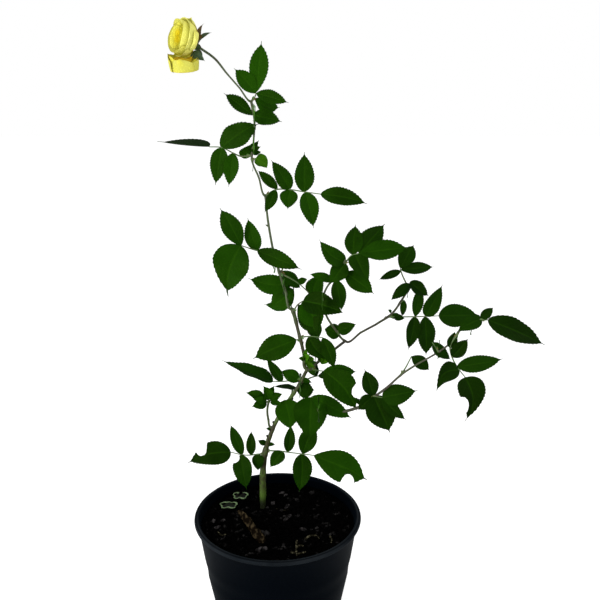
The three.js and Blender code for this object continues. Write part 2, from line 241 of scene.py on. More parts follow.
@dataclass
class Surface:
    """Points with faces on them, before they become a piece.

    Attributes:
        points: Places in millimetres.
        quads: Faces with four corners.
        triangles: Faces with three corners.
        uv: Each point's place on the surface.
        tint: One number for each point, for the finish to read.
    """

    points: Array
    quads: Array
    triangles: Array
    uv: Array
    tint: Array


NO_TRIANGLES = np.zeros((0, 3), int)


def toned(surface: Surface, tint: float) -> Surface:
    """The surface with one tint all over."""
    return replace(surface, tint=np.full(len(surface.points), tint))


def grid_faces(rows: int, columns: int, around: bool = False) -> Array:
    """Four-cornered faces of a grid whose points run row by row.

    Args:
        rows: Number of rows of points.
        columns: Number of points in a row.
        around: Whether the last column joins the first.

    Returns:
        One row of four point numbers for each face.
    """
    row = np.arange(rows - 1)[:, None] * columns
    column = np.arange(columns if around else columns - 1)[None, :]
    following = (column + 1) % columns
    corners = [row + column, row + following, row + columns + following, row + columns + column]
    return stacked(*corners).reshape(-1, 4)


def patch(points: Array, across: Array, along: Array, tint: Array) -> Surface:
    """An open grid of points as a surface.

    Args:
        points: The points by row and column.
        across: Each point's u.
        along: Each point's v.
        tint: One number for each point.

    Returns:
        The surface, with uv (across, along).
    """
    rows, columns = points.shape[:2]
    uv = stacked(across, along).reshape(-1, 2)
    return Surface(points.reshape(-1, 3), grid_faces(rows, columns), NO_TRIANGLES, uv, tint)


def round_body(points: Array, rows: int, columns: int, uv: Array, tint: Array) -> Surface:
    """A grid that runs round an axis, its first and last row closed on two poles.

    Args:
        points: The grid's points row by row, then the first row's pole and the last row's.
        rows: Number of rows of points.
        columns: Number of points in a row.
        uv: Each point's place on the surface.
        tint: One number for each point.

    Returns:
        The surface.
    """
    first = np.arange(columns)
    last = first + (rows - 1) * columns
    pole = np.full(columns, rows * columns)
    caps = np.concatenate([
        np.stack([np.roll(first, -1), first, pole], axis=1),
        np.stack([last, np.roll(last, -1), pole + 1], axis=1),
    ])
    return Surface(points, grid_faces(rows, columns, around=True), caps, uv, tint)


def join(surfaces: list[Surface]) -> Surface:
    """All surfaces as one, their point numbers shifted to follow on.

    Args:
        surfaces: The surfaces.

    Returns:
        The one surface.
    """
    counts = np.cumsum([0] + [len(s.points) for s in surfaces[:-1]])
    return Surface(
        np.concatenate([s.points for s in surfaces]),
        np.concatenate([s.quads + n for s, n in zip(surfaces, counts)]),
        np.concatenate([s.triangles + n for s, n in zip(surfaces, counts)]),
        np.concatenate([s.uv for s in surfaces]),
        np.concatenate([s.tint for s in surfaces]),
    )


def make_piece(name: str, parts: list[Surface], finish: bpy.types.Material | None = None) -> bpy.types.Object:
    """A mesh object from surfaces, its place in its mesh and its faces smooth.

    Args:
        name: The piece's name.
        parts: The surfaces.
        finish: The material.

    Returns:
        The new object.
    """
    whole = join(parts)
    mesh = bpy.data.meshes.new(name)
    faces = whole.quads.tolist() + whole.triangles.tolist()
    mesh.from_pydata((whole.points * MM).tolist(), [], faces)
    corner_points = np.zeros(len(mesh.loops), np.int32)
    mesh.loops.foreach_get("vertex_index", corner_points)
    layer = mesh.uv_layers.new(name="UVMap")
    layer.data.foreach_set("uv", whole.uv[corner_points].astype(np.float32).ravel())
    tint = mesh.attributes.new("tint", "FLOAT", "POINT")
    tint.data.foreach_set("value", whole.tint.astype(np.float32))
    mesh.polygons.foreach_set("use_smooth", np.ones(len(mesh.polygons), bool))
    if finish:
        mesh.materials.append(finish)
    mesh.update()
    piece = bpy.data.objects.new(name, mesh)
    bpy.context.scene.collection.objects.link(piece)
    return piece


def place(piece: bpy.types.Object, slot: str, *replaced: str) -> None:
    """Rides a finished piece on the bush and hides the nodes that it stands for.

    Args:
        piece: The piece.
        slot: Its material slot. Not used.
        replaced: The nodes.
    """
    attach(piece, BODY)
    if replaced:
        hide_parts(*replaced)
    LOG.info("%s: %d faces", piece.name, len(piece.data.polygons))


def add_piece(name: str, parts: list[Surface], finish: "Finish", slot: str, *replaced: str) -> None:
    """Makes a piece of surfaces in one finish and places it."""
    place(make_piece(name, parts, finish.material(name)), slot, *replaced)


# A tube's bark and uv: the noise's steps round the tube, millimetres to one step of it along the
# tube, millimetres to one step of uv, and the reach of a swollen joint.
BARK_ROUND = 2.2
BARK_ALONG = 7.0
UV_ALONG = 40.0
JOINT_REACH = 3.0


def tube(path: Path, sides: int, step: float, relief: float = 0.0, seed: int = 0,
         knots_at: tuple[float, ...] = (), swell: float = 0.0) -> Surface:
    """A closed round tube along a path, with bark relief.

    Each ring stands square to the path, at radius r (1 + swollen joints) + relief. A joint's
    swelling is swell exp(-((s - joint) / reach)^2). The relief is noise drawn out lengthwise. Both
    ends close on a pole.

    Args:
        path: The centreline and radii.
        sides: Points round a ring.
        step: Spacing of the rings.
        relief: Height of the bark's ridges.
        seed: Which noise the bark has.
        knots_at: Distances of the swollen joints.
        swell: Share by which a joint is thicker.

    Returns:
        The surface. Its tint is the distance along the path, and uv is (round, along).
    """
    places, line, radii = path.sample(step)
    rows = len(places)
    along = unit(np.gradient(line, axis=0))
    chord = line[-1] - line[0]
    closed = np.linalg.norm(chord) < 1e-6
    aside = UP if closed else unit(np.cross(chord, np.eye(3)[int(np.argmin(np.abs(chord)))]))
    side = unit(np.cross(along, aside))
    front = np.cross(side, along)
    angle = circle(sides)
    joints = sum((np.exp(-(((places - joint) / JOINT_REACH) ** 2)) for joint in knots_at), np.zeros(rows))
    spots = stacked(np.cos(angle) * BARK_ROUND, np.sin(angle) * BARK_ROUND, places[:, None] / BARK_ALONG)
    bark = rough_noise(spots, 3, seed) * relief
    reach = (radii * (1 + swell * joints))[:, None] + bark
    round_ring = np.cos(angle)[None, :, None] * side[:, None] + np.sin(angle)[None, :, None] * front[:, None]
    rings = line[:, None] + reach[..., None] * round_ring
    poles = np.array([line[0] - along[0] * radii[0] * 0.5, line[-1] + along[-1] * radii[-1] * 0.8])
    points = np.concatenate([rings.reshape(-1, 3), poles])
    uv = stacked(angle / FULL_TURN, places[:, None] / UV_ALONG).reshape(-1, 2)
    uv = np.concatenate([uv, [[0.5, 0.0], [0.5, places[-1] / UV_ALONG]]])
    tint = np.concatenate([np.repeat(places, sides), places[[0, -1]]])
    return round_body(points, rows, sides, uv, tint)


def ball(centre: Array, axes: Array, rows: int, columns: int, lumps: float, seed: int) -> Surface:
    """A closed lumpy ball: a sphere stretched along three axes, its radius changed by noise.

    Args:
        centre: Its middle.
        axes: Three half axes, one row each. The last one runs from pole to pole.
        rows: Rings between the poles.
        columns: Points in a ring.
        lumps: Share by which the noise changes the radius.
        seed: Which noise.

    Returns:
        The surface. Its tint runs from 0 at one pole to 1 at the other.
    """
    polar = np.linspace(0.0, math.pi, rows + 2)[1:-1, None]
    turn = circle(columns)
    way = stacked(np.sin(polar) * np.cos(turn), np.sin(polar) * np.sin(turn), -np.cos(polar)).reshape(-1, 3)
    way = np.concatenate([way, [[0, 0, -1], [0, 0, 1]]])
    way = way * (1 + lumps * rough_noise(way * 1.7 + seed, 2, seed))[:, None]
    uv = np.stack([np.arctan2(way[:, 1], way[:, 0]) / FULL_TURN + 0.5, way[:, 2] / 2 + 0.5], axis=1)
    return round_body(centre + way @ np.asarray(axes), rows, columns, uv, uv[:, 1])


def turned(profile: Array, sides: int) -> Surface:
    """A profile of (radius, height) turned about the upright axis, closed where it meets the axis.

    Args:
        profile: The profile's points, from the axis out and back to the axis. They run so that
            the outside lies to the right of the way they go.
        sides: Points round a ring.

    Returns:
        The surface. Its tint is the height.
    """
    inner = profile[1:-1]
    angle = circle(sides)
    rings = stacked(inner[:, :1] * np.cos(angle), inner[:, :1] * np.sin(angle), inner[:, 1:2])
    points = np.concatenate([rings.reshape(-1, 3), [[0, 0, profile[0, 1]], [0, 0, profile[-1, 1]]]])
    uv = stacked(angle / FULL_TURN, travelled(inner)[:, None] / 300.0).reshape(-1, 2)
    uv = np.concatenate([uv, [[0.5, 0.0], [0.5, 1.0]]])
    return round_body(points, len(inner), sides, uv, points[:, 2])


# ---- the frame's solids


def node_triangles(name: str) -> Array:
    """A node's triangles in millimetres.

    Args:
        name: The node.

    Returns:
        An array of (triangle, corner, axis).
    """
    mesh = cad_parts[name].data
    points = np.zeros(len(mesh.vertices) * 3, np.float32)
    mesh.vertices.foreach_get("co", points)
    mesh.calc_loop_triangles()
    corners = np.zeros(len(mesh.loop_triangles) * 3, np.int32)
    mesh.loop_triangles.foreach_get("vertices", corners)
    return points.reshape(-1, 3).astype(float)[corners].reshape(-1, 3, 3) / MM


def reach_and_height(name: str) -> tuple[Array, Array]:
    """The distance from the upright axis and the height of each of a node's corners."""
    points = node_triangles(name).reshape(-1, 3)
    return np.hypot(points[:, 0], points[:, 1]), points[:, 2]


def distinct(points: Array, spacing: float = 0.02) -> Array:
    """Points with repeats taken out, in millimetres."""
    _, keep = np.unique(np.round(points / spacing).astype(int), axis=0, return_index=True)
    return points[np.sort(keep)]


def limb_path(name: str, ring_gap: float = 5.0) -> Path:
    """The centreline of a limb node, from its thick end.

    The node is a tube of rings. Its points are sorted along its chord and split wherever two
    neighbours lie further apart than ring_gap. Each group's mean is a point of the line, and the
    group's mean distance from it is the radius.

    Args:
        name: The node.
        ring_gap: Least distance between two rings along the chord.

    Returns:
        The centreline with radii.
    """
    points = distinct(node_triangles(name).reshape(-1, 3))
    middle = points - points.mean(axis=0)
    chord = np.linalg.svd(middle, full_matrices=False)[2][0]
    order = np.argsort(middle @ chord)
    splits = np.flatnonzero(np.diff((middle @ chord)[order]) > ring_gap) + 1
    rings = np.split(points[order], splits)
    line = np.array([ring.mean(axis=0) for ring in rings])
    radii = np.array([np.linalg.norm(ring - ring.mean(axis=0), axis=1).mean() for ring in rings])
    if radii[1:3].mean() < radii[-3:-1].mean():
        line, radii = line[::-1], radii[::-1]
    inside = radii[1:-1]
    radii = np.concatenate([[inside[0]], inside, [inside[-1]]])
    return Path(line, radii)


@dataclass(frozen=True)
class Blade:
    """One flat blade of a leaf node.

    Attributes:
        foot: Where it leaves its stalk.
        axis: The way it points.
        normal: The way its upper side looks.
        length: From foot to tip.
        width: Across the widest place.
    """

    foot: Array
    axis: Array
    normal: Array
    length: float
    width: float

    @property
    def clock(self) -> float:
        """The way it points seen from the front, in degrees from straight up towards +X."""
        return math.degrees(math.atan2(self.axis[0], self.axis[2]))


# Leaflets turn their upper sides this way, to the open front and upwards. The bloom opens further
# on the side that leans that way and to +X.
OPEN_AIR = np.array([0.0, -0.85, 0.5])
FRONT_RIGHT = np.array([0.9, 0.0, -0.5])

# The stations of a frame blade's corners, as shares of its length, and the sizes that it may have:
# its length in millimetres and its width as a share of the length.
BLADE_STATIONS = (0.12, 0.42, 0.76)
BLADE_LENGTHS = (8.0, 85.0)
BLADE_WIDTHS = (0.25, 1.3)

# How far a blade's corner may lie from where it is foretold, and how level a pair of corners must
# be, in millimetres.
CORNER_GAP = 0.3
LEVEL_GAP = 0.12

# A flat side's triangles lie this close to its plane, in millimetres, and their normals agree this
# well. Smaller triangles than the least are slivers, and a side starts from a larger one.
FLATNESS = 0.06
AGREEMENT = 0.99
SLIVER_AREA = 0.05
FIRST_AREA = 0.8


def blade_half_width(along: Array, shoulder: float = 0.82) -> Array:
    """Half a leaflet's width as a share of its full width: 0.5 sin(pi v^shoulder)^0.75."""
    return 0.5 * np.maximum(np.sin(math.pi * np.clip(along, 0, 1) ** shoulder), 0.0) ** 0.75


def flat_sides(triangles: Array, least_area: float = 25.0) -> list[tuple[Array, Array]]:
    """The large flat sides of a node.

    Args:
        triangles: The node's triangles.
        least_area: Smallest side to keep, in square millimetres.

    Returns:
        For each side its outward normal and its distinct points.
    """
    cross = np.cross(triangles[:, 1] - triangles[:, 0], triangles[:, 2] - triangles[:, 0])
    areas = np.linalg.norm(cross, axis=1) / 2
    normals = unit(cross)
    left = areas > SLIVER_AREA
    sides = []
    while left.any():
        start = int(np.argmax(np.where(left, areas, 0)))
        if areas[start] < FIRST_AREA:
            break
        normal, base = normals[start], triangles[start, 0]
        off_plane = np.abs((triangles - base) @ normal).max(axis=1)
        same = left & (off_plane < FLATNESS) & (normals @ normal > AGREEMENT)
        if areas[same].sum() > least_area:
            sides.append((normal, distinct(triangles[same].reshape(-1, 3), 0.05)))
        left &= ~same
    return sides


def match_blade(normal: Array, points: Array, thickness: float = 1.4) -> Blade | None:
    """Finds the blade whose outline has its corners among a flat side's points.

    A tip T and the two corners A and B nearest to it lie as a level pair: TA and TB are equal, and
    the other stations that they foretell are corners too. The tip with the most such corners wins.

    Args:
        normal: The side's normal.
        points: Its points.
        thickness: The blade's, half of which lies between the side and the blade's middle.

    Returns:
        The blade, or nothing where no outline fits.
    """
    last, half_last = 1 - BLADE_STATIONS[2], float(blade_half_width(BLADE_STATIONS[2]))
    first, second = np.triu_indices(len(points), 1)
    middle = (points[first] + points[second]) / 2
    spread = np.linalg.norm(points[first] - points[second], axis=1)
    found = (0, 0.0, None)
    for tip in points:
        reach = np.linalg.norm(middle - tip, axis=1)
        to_tip = np.linalg.norm(points - tip, axis=1)
        level = np.abs(to_tip[first] - to_tip[second])
        length, width = reach / last, spread / (2 * half_last)
        share = width / length
        fits = (level < LEVEL_GAP) & (length > BLADE_LENGTHS[0]) & (length < BLADE_LENGTHS[1])
        fits = fits & (share > BLADE_WIDTHS[0]) & (share < BLADE_WIDTHS[1])
        for k in np.flatnonzero(fits):
            axis = (tip - middle[k]) / reach[k]
            side = np.cross(normal, axis)
            foot = tip - axis * length[k]
            stations = np.array(BLADE_STATIONS[:2])
            across = blade_half_width(stations) * width[k]
            along = foot + axis * (stations * length[k])[:, None]
            foretold = np.concatenate([along + side * across[:, None], along - side * across[:, None]])
            gaps = np.linalg.norm(foretold[:, None] - points[None], axis=2).min(axis=1)
            hits = int((gaps < CORNER_GAP).sum())
            if (hits, length[k]) > found[:2]:
                found = (hits, float(length[k]), (foot, axis, float(width[k])))
    if found[0] < 1:
        return None
    foot, axis, width = found[2]
    upper = normal if float(normal @ OPEN_AIR) > 0 else -normal
    return Blade(foot - normal * thickness / 2, axis, upper, found[1], width)


def read_blades(name: str) -> list[Blade]:
    """The blades of a leaf node, each found from either of its flat sides.

    Args:
        name: The node.

    Returns:
        The blades, in order of the clock that they point to.
    """
    blades: list[Blade] = []
    for normal, points in flat_sides(node_triangles(name)):
        blade = match_blade(normal, points)
        if blade is None:
            continue
        twins = [
            other for other in blades
            if np.linalg.norm(other.foot - blade.foot) < 2.0 and float(other.axis @ blade.axis) > 0.98
        ]
        if not twins:
            blades.append(blade)
    return sorted(blades, key=lambda blade: blade.clock)


# ---- finishes


class Nodes:
    """Shorthand for laying out a material's nodes."""

    def __init__(self, tree: bpy.types.NodeTree) -> None:
        """Takes the tree that the nodes go into."""
        self.tree = tree

    def feed(self, node: bpy.types.Node, inputs: dict) -> None:
        """Sets or links a node's inputs.

        Args:
            node: The node.
            inputs: Input name or number to a socket or a plain value. A colour has three parts.
        """
        for key, value in inputs.items():
            socket = node.inputs[key]
            if isinstance(value, Socket):
                self.tree.links.new(value, socket)
            else:
                socket.default_value = (*value, 1.0) if socket.type == "RGBA" else value

    def add(self, kind: str, inputs: dict | None = None, **settings: object) -> bpy.types.Node:
        """A node with its settings made and its inputs fed.

        Args:
            kind: The node's type name without its ShaderNode prefix.
            inputs: What goes into its inputs.
            settings: Properties of the node.

        Returns:
            The node.
        """
        node = self.tree.nodes.new("ShaderNode" + kind)
        for key, value in settings.items():
            setattr(node, key, value)
        self.feed(node, inputs or {})
        return node

    def math(self, operation: str, a: object, b: object = 0.0, c: object = 0.0) -> Socket:
        """The result of a Math node."""
        return self.add("Math", {0: a, 1: b, 2: c}, operation=operation).outputs[0]

    def times(self, a: object, b: object) -> Socket:
        """Two values multiplied."""
        return self.math("MULTIPLY", a, b)

    def distance(self, a: object, b: object) -> Socket:
        """How far apart two values are."""
        return self.math("ABSOLUTE", self.math("SUBTRACT", a, b))

    def ramp(self, value: object, low: float, high: float) -> Socket:
        """A value's way from low to high as 0 to 1, held at both ends."""
        return self.add("MapRange", {"Value": value, "From Min": low, "From Max": high}).outputs["Result"]

    def mix(self, share: object, a: object, b: object) -> Socket:
        """Two colours mixed by a share."""
        return self.add("Mix", {"Factor": share, 6: a, 7: b}, data_type="RGBA").outputs[2]

    def noise(self, where: object, scale: float, detail: float = 3.0) -> Socket:
        """A noise texture's value."""
        return self.add("TexNoise", {"Vector": where, "Scale": scale, "Detail": detail}).outputs["Fac"]

    def bump(self, height: object, strength: float, distance: float) -> Socket:
        """A normal bent by a height. The distance is in metres."""
        inputs = {"Height": height, "Strength": strength, "Distance": distance}
        return self.add("Bump", inputs).outputs["Normal"]

    def where(self) -> Socket:
        """A point's place in its piece, in metres."""
        return self.add("TexCoord").outputs["Object"]

    def uv(self) -> Socket:
        """A point's place on its own surface."""
        return self.add("UVMap", uv_map="UVMap").outputs["UV"]

    def tint(self) -> Socket:
        """The number that a surface gives to its points."""
        return self.add("Attribute", attribute_name="tint").outputs["Fac"]

    def scaled(self, where: Socket, *scale: float) -> Socket:
        """Places with each axis scaled."""
        return self.add("Mapping", {"Vector": where, "Scale": scale}).outputs[0]

    def parts(self, where: Socket) -> tuple[Socket, ...]:
        """A place's numbers."""
        return tuple(self.add("SeparateXYZ", {0: where}).outputs)


class Finish:
    """A finish, which lays out a material's nodes in its own way."""

    def inputs(self, nodes: Nodes) -> dict:
        """What goes into the surface shader's inputs."""
        raise NotImplementedError

    def material(self, name: str) -> bpy.types.Material:
        """The finish as a material.

        Args:
            name: The material's name.

        Returns:
            The material.
        """
        material = bpy.data.materials.new(name)
        material.use_nodes = True
        material.node_tree.nodes.clear()
        nodes = Nodes(material.node_tree)
        shader = nodes.add("BsdfPrincipled")
        nodes.add("OutputMaterial", {"Surface": shader.outputs[0]})
        nodes.feed(shader, self.inputs(nodes))
        return material


def dimmed(colour: Colour, factor: float) -> Colour:
    """A colour with each part multiplied."""
    return tuple(factor * part for part in colour)


@cache
def vein_group() -> bpy.types.NodeTree:
    """The veins of a leaflet: side veins slanting from the midrib, read from the leaflet's own uv.

    u runs 0 to 1 across and v from foot to tip. A vein lies where v * count - slant |2u - 1| is
    near a whole number, and the midrib where |2u - 1| is near 0.

    Returns:
        A group with inputs Count and Slant and outputs Veins, Midrib and Cells.
    """
    tree = bpy.data.node_groups.new("leaflet veins", "ShaderNodeTree")
    for name, value in (("Count", 9.0), ("Slant", 2.4)):
        socket = tree.interface.new_socket(name, in_out="INPUT", socket_type="NodeSocketFloat")
        socket.default_value = value
    for name in ("Veins", "Midrib", "Cells"):
        tree.interface.new_socket(name, in_out="OUTPUT", socket_type="NodeSocketFloat")
    nodes = Nodes(tree)
    inputs = tree.nodes.new("NodeGroupInput")
    outputs = tree.nodes.new("NodeGroupOutput")
    where = nodes.uv()
    u, v, _ = nodes.parts(where)
    across = nodes.math("ABSOLUTE", nodes.math("MULTIPLY_ADD", u, 2.0, -1.0))
    rows = nodes.times(v, inputs.outputs["Count"])
    slanted = nodes.math("SUBTRACT", rows, nodes.times(across, inputs.outputs["Slant"]))
    distance = nodes.distance(nodes.math("FRACT", slanted), 0.5)
    fine = nodes.add("TexVoronoi", {"Vector": where, "Scale": 34.0}, feature="DISTANCE_TO_EDGE")
    nodes.feed(outputs, {
        "Veins": nodes.ramp(distance, 0.42, 0.5),
        "Midrib": nodes.ramp(across, 0.10, 0.0),
        "Cells": nodes.ramp(fine.outputs["Distance"], 0.0, 0.12),
    })
    return tree


class Tone(Enum):
    """The greens of the foliage, from the oldest leaves to the youngest."""

    DEEP = "deep"
    MIDDLE = "middle"
    BRIGHT = "bright"
    YOUNG = "young"


@dataclass(frozen=True)
class LeafFinish(Finish):
    """A leaflet's skin: glossy with sunken veins, paler below.

    Attributes:
        upper: Colour of the upper side.
        lower: Colour of the under side.
        vein: Colour of the midrib and veins.
        roughness: Of the upper side.
    """

    upper: Colour
    lower: Colour
    vein: Colour
    roughness: float = 0.42

    def inputs(self, nodes: Nodes) -> dict:
        """Clouded green with pale ribs and hollow veins; the under side is told by its facing.

        Args:
            nodes: The material's nodes.

        Returns:
            The shader's inputs.
        """
        net = nodes.add("Group", node_tree=vein_group())
        cloud = nodes.noise(nodes.where(), 38.0, 4.0)
        skin = nodes.mix(nodes.ramp(cloud, 0.35, 0.7), dimmed(self.upper, 0.62), self.upper)
        tint = nodes.tint()
        skin = nodes.mix(nodes.ramp(tint, 0.0, 1.0), skin, dimmed(self.upper, 1.45))
        skin = nodes.mix(nodes.ramp(tint, 0.0, -1.0), skin, dimmed(self.upper, 0.40))
        ribs = nodes.math("MAXIMUM", nodes.times(net.outputs["Veins"], 0.35), net.outputs["Midrib"])
        skin = nodes.mix(nodes.times(ribs, 0.45), skin, self.vein)
        under = nodes.mix(nodes.times(ribs, 0.5), self.lower, self.vein)
        back = nodes.add("NewGeometry").outputs["Backfacing"]
        hollow = nodes.math("SUBTRACT", nodes.times(net.outputs["Cells"], 0.4), net.outputs["Veins"])
        return {
            "Base Color": nodes.mix(back, skin, under),
            "Roughness": nodes.math("MULTIPLY_ADD", cloud, 0.25, self.roughness - 0.12),
            "Specular IOR Level": 0.08,
            "Specular Tint": (0.55, 1.0, 0.12),
            "Normal": nodes.bump(hollow, 0.35, 0.0006),
        }


LEAF_FINISHES = {
    Tone.DEEP: LeafFinish((0.0030, 0.0180, 0.0004), (0.030, 0.085, 0.010), (0.0100, 0.0400, 0.0010)),
    Tone.MIDDLE: LeafFinish((0.0045, 0.0270, 0.0003), (0.036, 0.105, 0.011), (0.0125, 0.0500, 0.0012)),
    Tone.BRIGHT: LeafFinish((0.0062, 0.0350, 0.0004), (0.045, 0.135, 0.012), (0.0160, 0.0640, 0.0016)),
    Tone.YOUNG: LeafFinish((0.0250, 0.0900, 0.0018), (0.070, 0.190, 0.012), (0.0550, 0.1500, 0.0050), 0.40),
}


@dataclass(frozen=True)
class RindFinish(Finish):
    """A stem's rind: green skin that turns to brown bark, with fine lengthwise cracks.

    Attributes:
        green: Colour of the green skin.
        brown: Colour of the bark.
        brown_share: How much of the skin has turned, 0 to 1.
        green_foot: Distance from the stem's foot that stays green.
        soiled: Distance from the stem's foot that soil has stained.
    """

    green: Colour
    brown: Colour
    brown_share: float
    green_foot: float = 0.0
    soiled: float = 0.0

    def inputs(self, nodes: Nodes) -> dict:
        """Green and brown parted by streaks and patches, dark cracks, and soil at the foot.

        Args:
            nodes: The material's nodes.

        Returns:
            The shader's inputs.
        """
        where = nodes.where()
        streaks = nodes.noise(nodes.scaled(where, 1.0, 1.0, 0.16), 900.0, 4.0)
        patches = nodes.noise(where, 55.0, 3.0)
        along = nodes.tint()
        level = 0.5 - 0.5 * (self.brown_share - 0.5)
        mottle = nodes.math("ADD", nodes.times(streaks, 0.45), nodes.times(patches, 0.55))
        turned_brown = nodes.ramp(mottle, level - 0.09, level + 0.05)
        if self.green_foot:
            aged = nodes.ramp(along, self.green_foot, self.green_foot + 14.0)
            turned_brown = nodes.times(turned_brown, aged)
        skin = nodes.mix(turned_brown, self.green, self.brown)
        skin = nodes.mix(nodes.ramp(streaks, 0.58, 0.75), skin, dimmed(self.brown, 0.45))
        if self.soiled:
            ragged = nodes.math("MULTIPLY_ADD", patches, 8.0, along)
            stained = nodes.ramp(ragged, self.soiled + 10.0, self.soiled)
            skin = nodes.mix(nodes.times(stained, 0.92), skin, (0.0030, 0.0026, 0.0014))
        return {
            "Base Color": skin,
            "Roughness": nodes.ramp(streaks, -0.4, 1.4),
            "Specular IOR Level": 0.3,
            "Normal": nodes.bump(streaks, 0.5, 0.0004),
        }


OLD_RIND = RindFinish((0.054, 0.100, 0.012), (0.026, 0.020, 0.008), 0.56, green_foot=30.0, soiled=21.0)
CANE_RIND = RindFinish((0.036, 0.058, 0.012), (0.034, 0.026, 0.012), 0.45)
BOUGH_RIND = RindFinish((0.043, 0.052, 0.020), (0.040, 0.036, 0.022), 0.50)
SHOOT_RIND = RindFinish((0.050, 0.072, 0.026), (0.050, 0.046, 0.030), 0.30)
STALK_RIND = RindFinish((0.060, 0.110, 0.030), (0.085, 0.075, 0.040), 0.30)


@dataclass(frozen=True)
class PetalFinish(Finish):
    """A petal's skin, deep at the heart of the bloom and pale at the outside.

    Attributes:
        heart: Colour of the innermost petals.
        middle: Colour half way out.
        outside: Colour of the outermost petals.
        stain: Colour at the foot of each petal.
        margin: Colour of the dark lines along a petal's sides and rim: painted shade where petals overlap.
        painted_glow: Emission of the petal's own colour, as a share: painted light seeping through from
            behind.
    """

    heart: Colour = (0.66, 0.53, 0.004)
    middle: Colour = (0.60, 0.57, 0.055)
    outside: Colour = (0.54, 0.54, 0.130)
    stain: Colour = (0.34, 0.19, 0.003)
    margin: Colour = (0.30, 0.26, 0.020)
    painted_glow: float = 0.18

    def inputs(self, nodes: Nodes) -> dict:
        """Yellow by the tint, stained at the foot, painted shade at the margins, with fine lengthwise veins.

        Args:
            nodes: The material's nodes.

        Returns:
            The shader's inputs.
        """
        out = nodes.tint()
        skin = nodes.mix(nodes.ramp(out, 0.0, 0.5), self.heart, self.middle)
        skin = nodes.mix(nodes.ramp(out, 0.5, 1.0), skin, self.outside)
        where = nodes.uv()
        u, v, _ = nodes.parts(where)
        skin = nodes.mix(nodes.times(nodes.ramp(v, 0.42, 0.0), 0.75), skin, self.stain)
        # Painted shade: each petal's sides and rim turn darker, as if shadowed where petals overlap.
        edge = nodes.math("MAXIMUM", nodes.ramp(nodes.distance(u, 0.5), 0.44, 0.5), nodes.ramp(v, 0.95, 1.0))
        skin = nodes.mix(nodes.times(edge, 0.55), skin, self.margin)
        veins = nodes.noise(nodes.scaled(where, 26.0, 1.6, 1.0), 1.0, 3.0)
        skin = nodes.mix(nodes.times(nodes.ramp(veins, 0.45, 0.8), 0.22), skin, self.stain)
        return {
            "Base Color": skin,
            "Roughness": nodes.ramp(veins, -0.6, 1.2),
            "Specular IOR Level": 0.15,
            # Painted light: the petals emit their own colour, as if lit through from behind.
            "Emission Color": skin,
            "Emission Strength": self.painted_glow,
            "Normal": nodes.bump(veins, 0.12, 0.0004),
        }


# The hanging lower petals: a dimmer copy of the cup's colours, painted shade. Their orange heart colour,
# taken by the innermost lower ring, is painted shadow in the gap under the cup.
LOWER_PETAL_PAINTED_SHADE = PetalFinish(
    (0.44, 0.30, 0.007), (0.45, 0.42, 0.028), (0.385, 0.385, 0.066), (0.36, 0.19, 0.004))


@dataclass(frozen=True)
class GreenFinish(Finish):
    """The matt green of sepals, hip and stipules, with brown in patches.

    Attributes:
        green: The green.
        brown: The brown of withered parts.
        withered: How much has withered, 0 to 1.
    """

    green: Colour
    brown: Colour = (0.10, 0.065, 0.015)
    withered: float = 0.3

    def inputs(self, nodes: Nodes) -> dict:
        """Green clouded with brown; a surface's tint adds to what has withered.

        Args:
            nodes: The material's nodes.

        Returns:
            The shader's inputs.
        """
        cloud = nodes.noise(nodes.where(), 220.0, 4.0)
        level = 0.5 - 0.35 * (self.withered - 0.5)
        cloudy = nodes.math("MULTIPLY_ADD", nodes.tint(), 0.35, cloud)
        return {
            "Base Color": nodes.mix(nodes.ramp(cloudy, level - 0.06, level + 0.06), self.green, self.brown),
            "Roughness": nodes.ramp(cloud, -0.5, 1.3),
            "Specular IOR Level": 0.2,
            "Normal": nodes.bump(cloud, 0.4, 0.0004),
        }


STIPULE_FINISH = GreenFinish((0.045, 0.120, 0.012), withered=0.2)
HIP_FINISH = GreenFinish((0.020, 0.045, 0.008), (0.040, 0.026, 0.008), withered=0.35)
SEPAL_FINISH = GreenFinish((0.035, 0.065, 0.028), (0.085, 0.050, 0.010), withered=0.0)
LEAF_BIT_FINISH = GreenFinish((0.0030, 0.0060, 0.0020), (0.0070, 0.0060, 0.0035), withered=0.0)
LEAF_RIM_FINISH = GreenFinish((0.120, 0.180, 0.085), (0.018, 0.026, 0.012), withered=0.0)


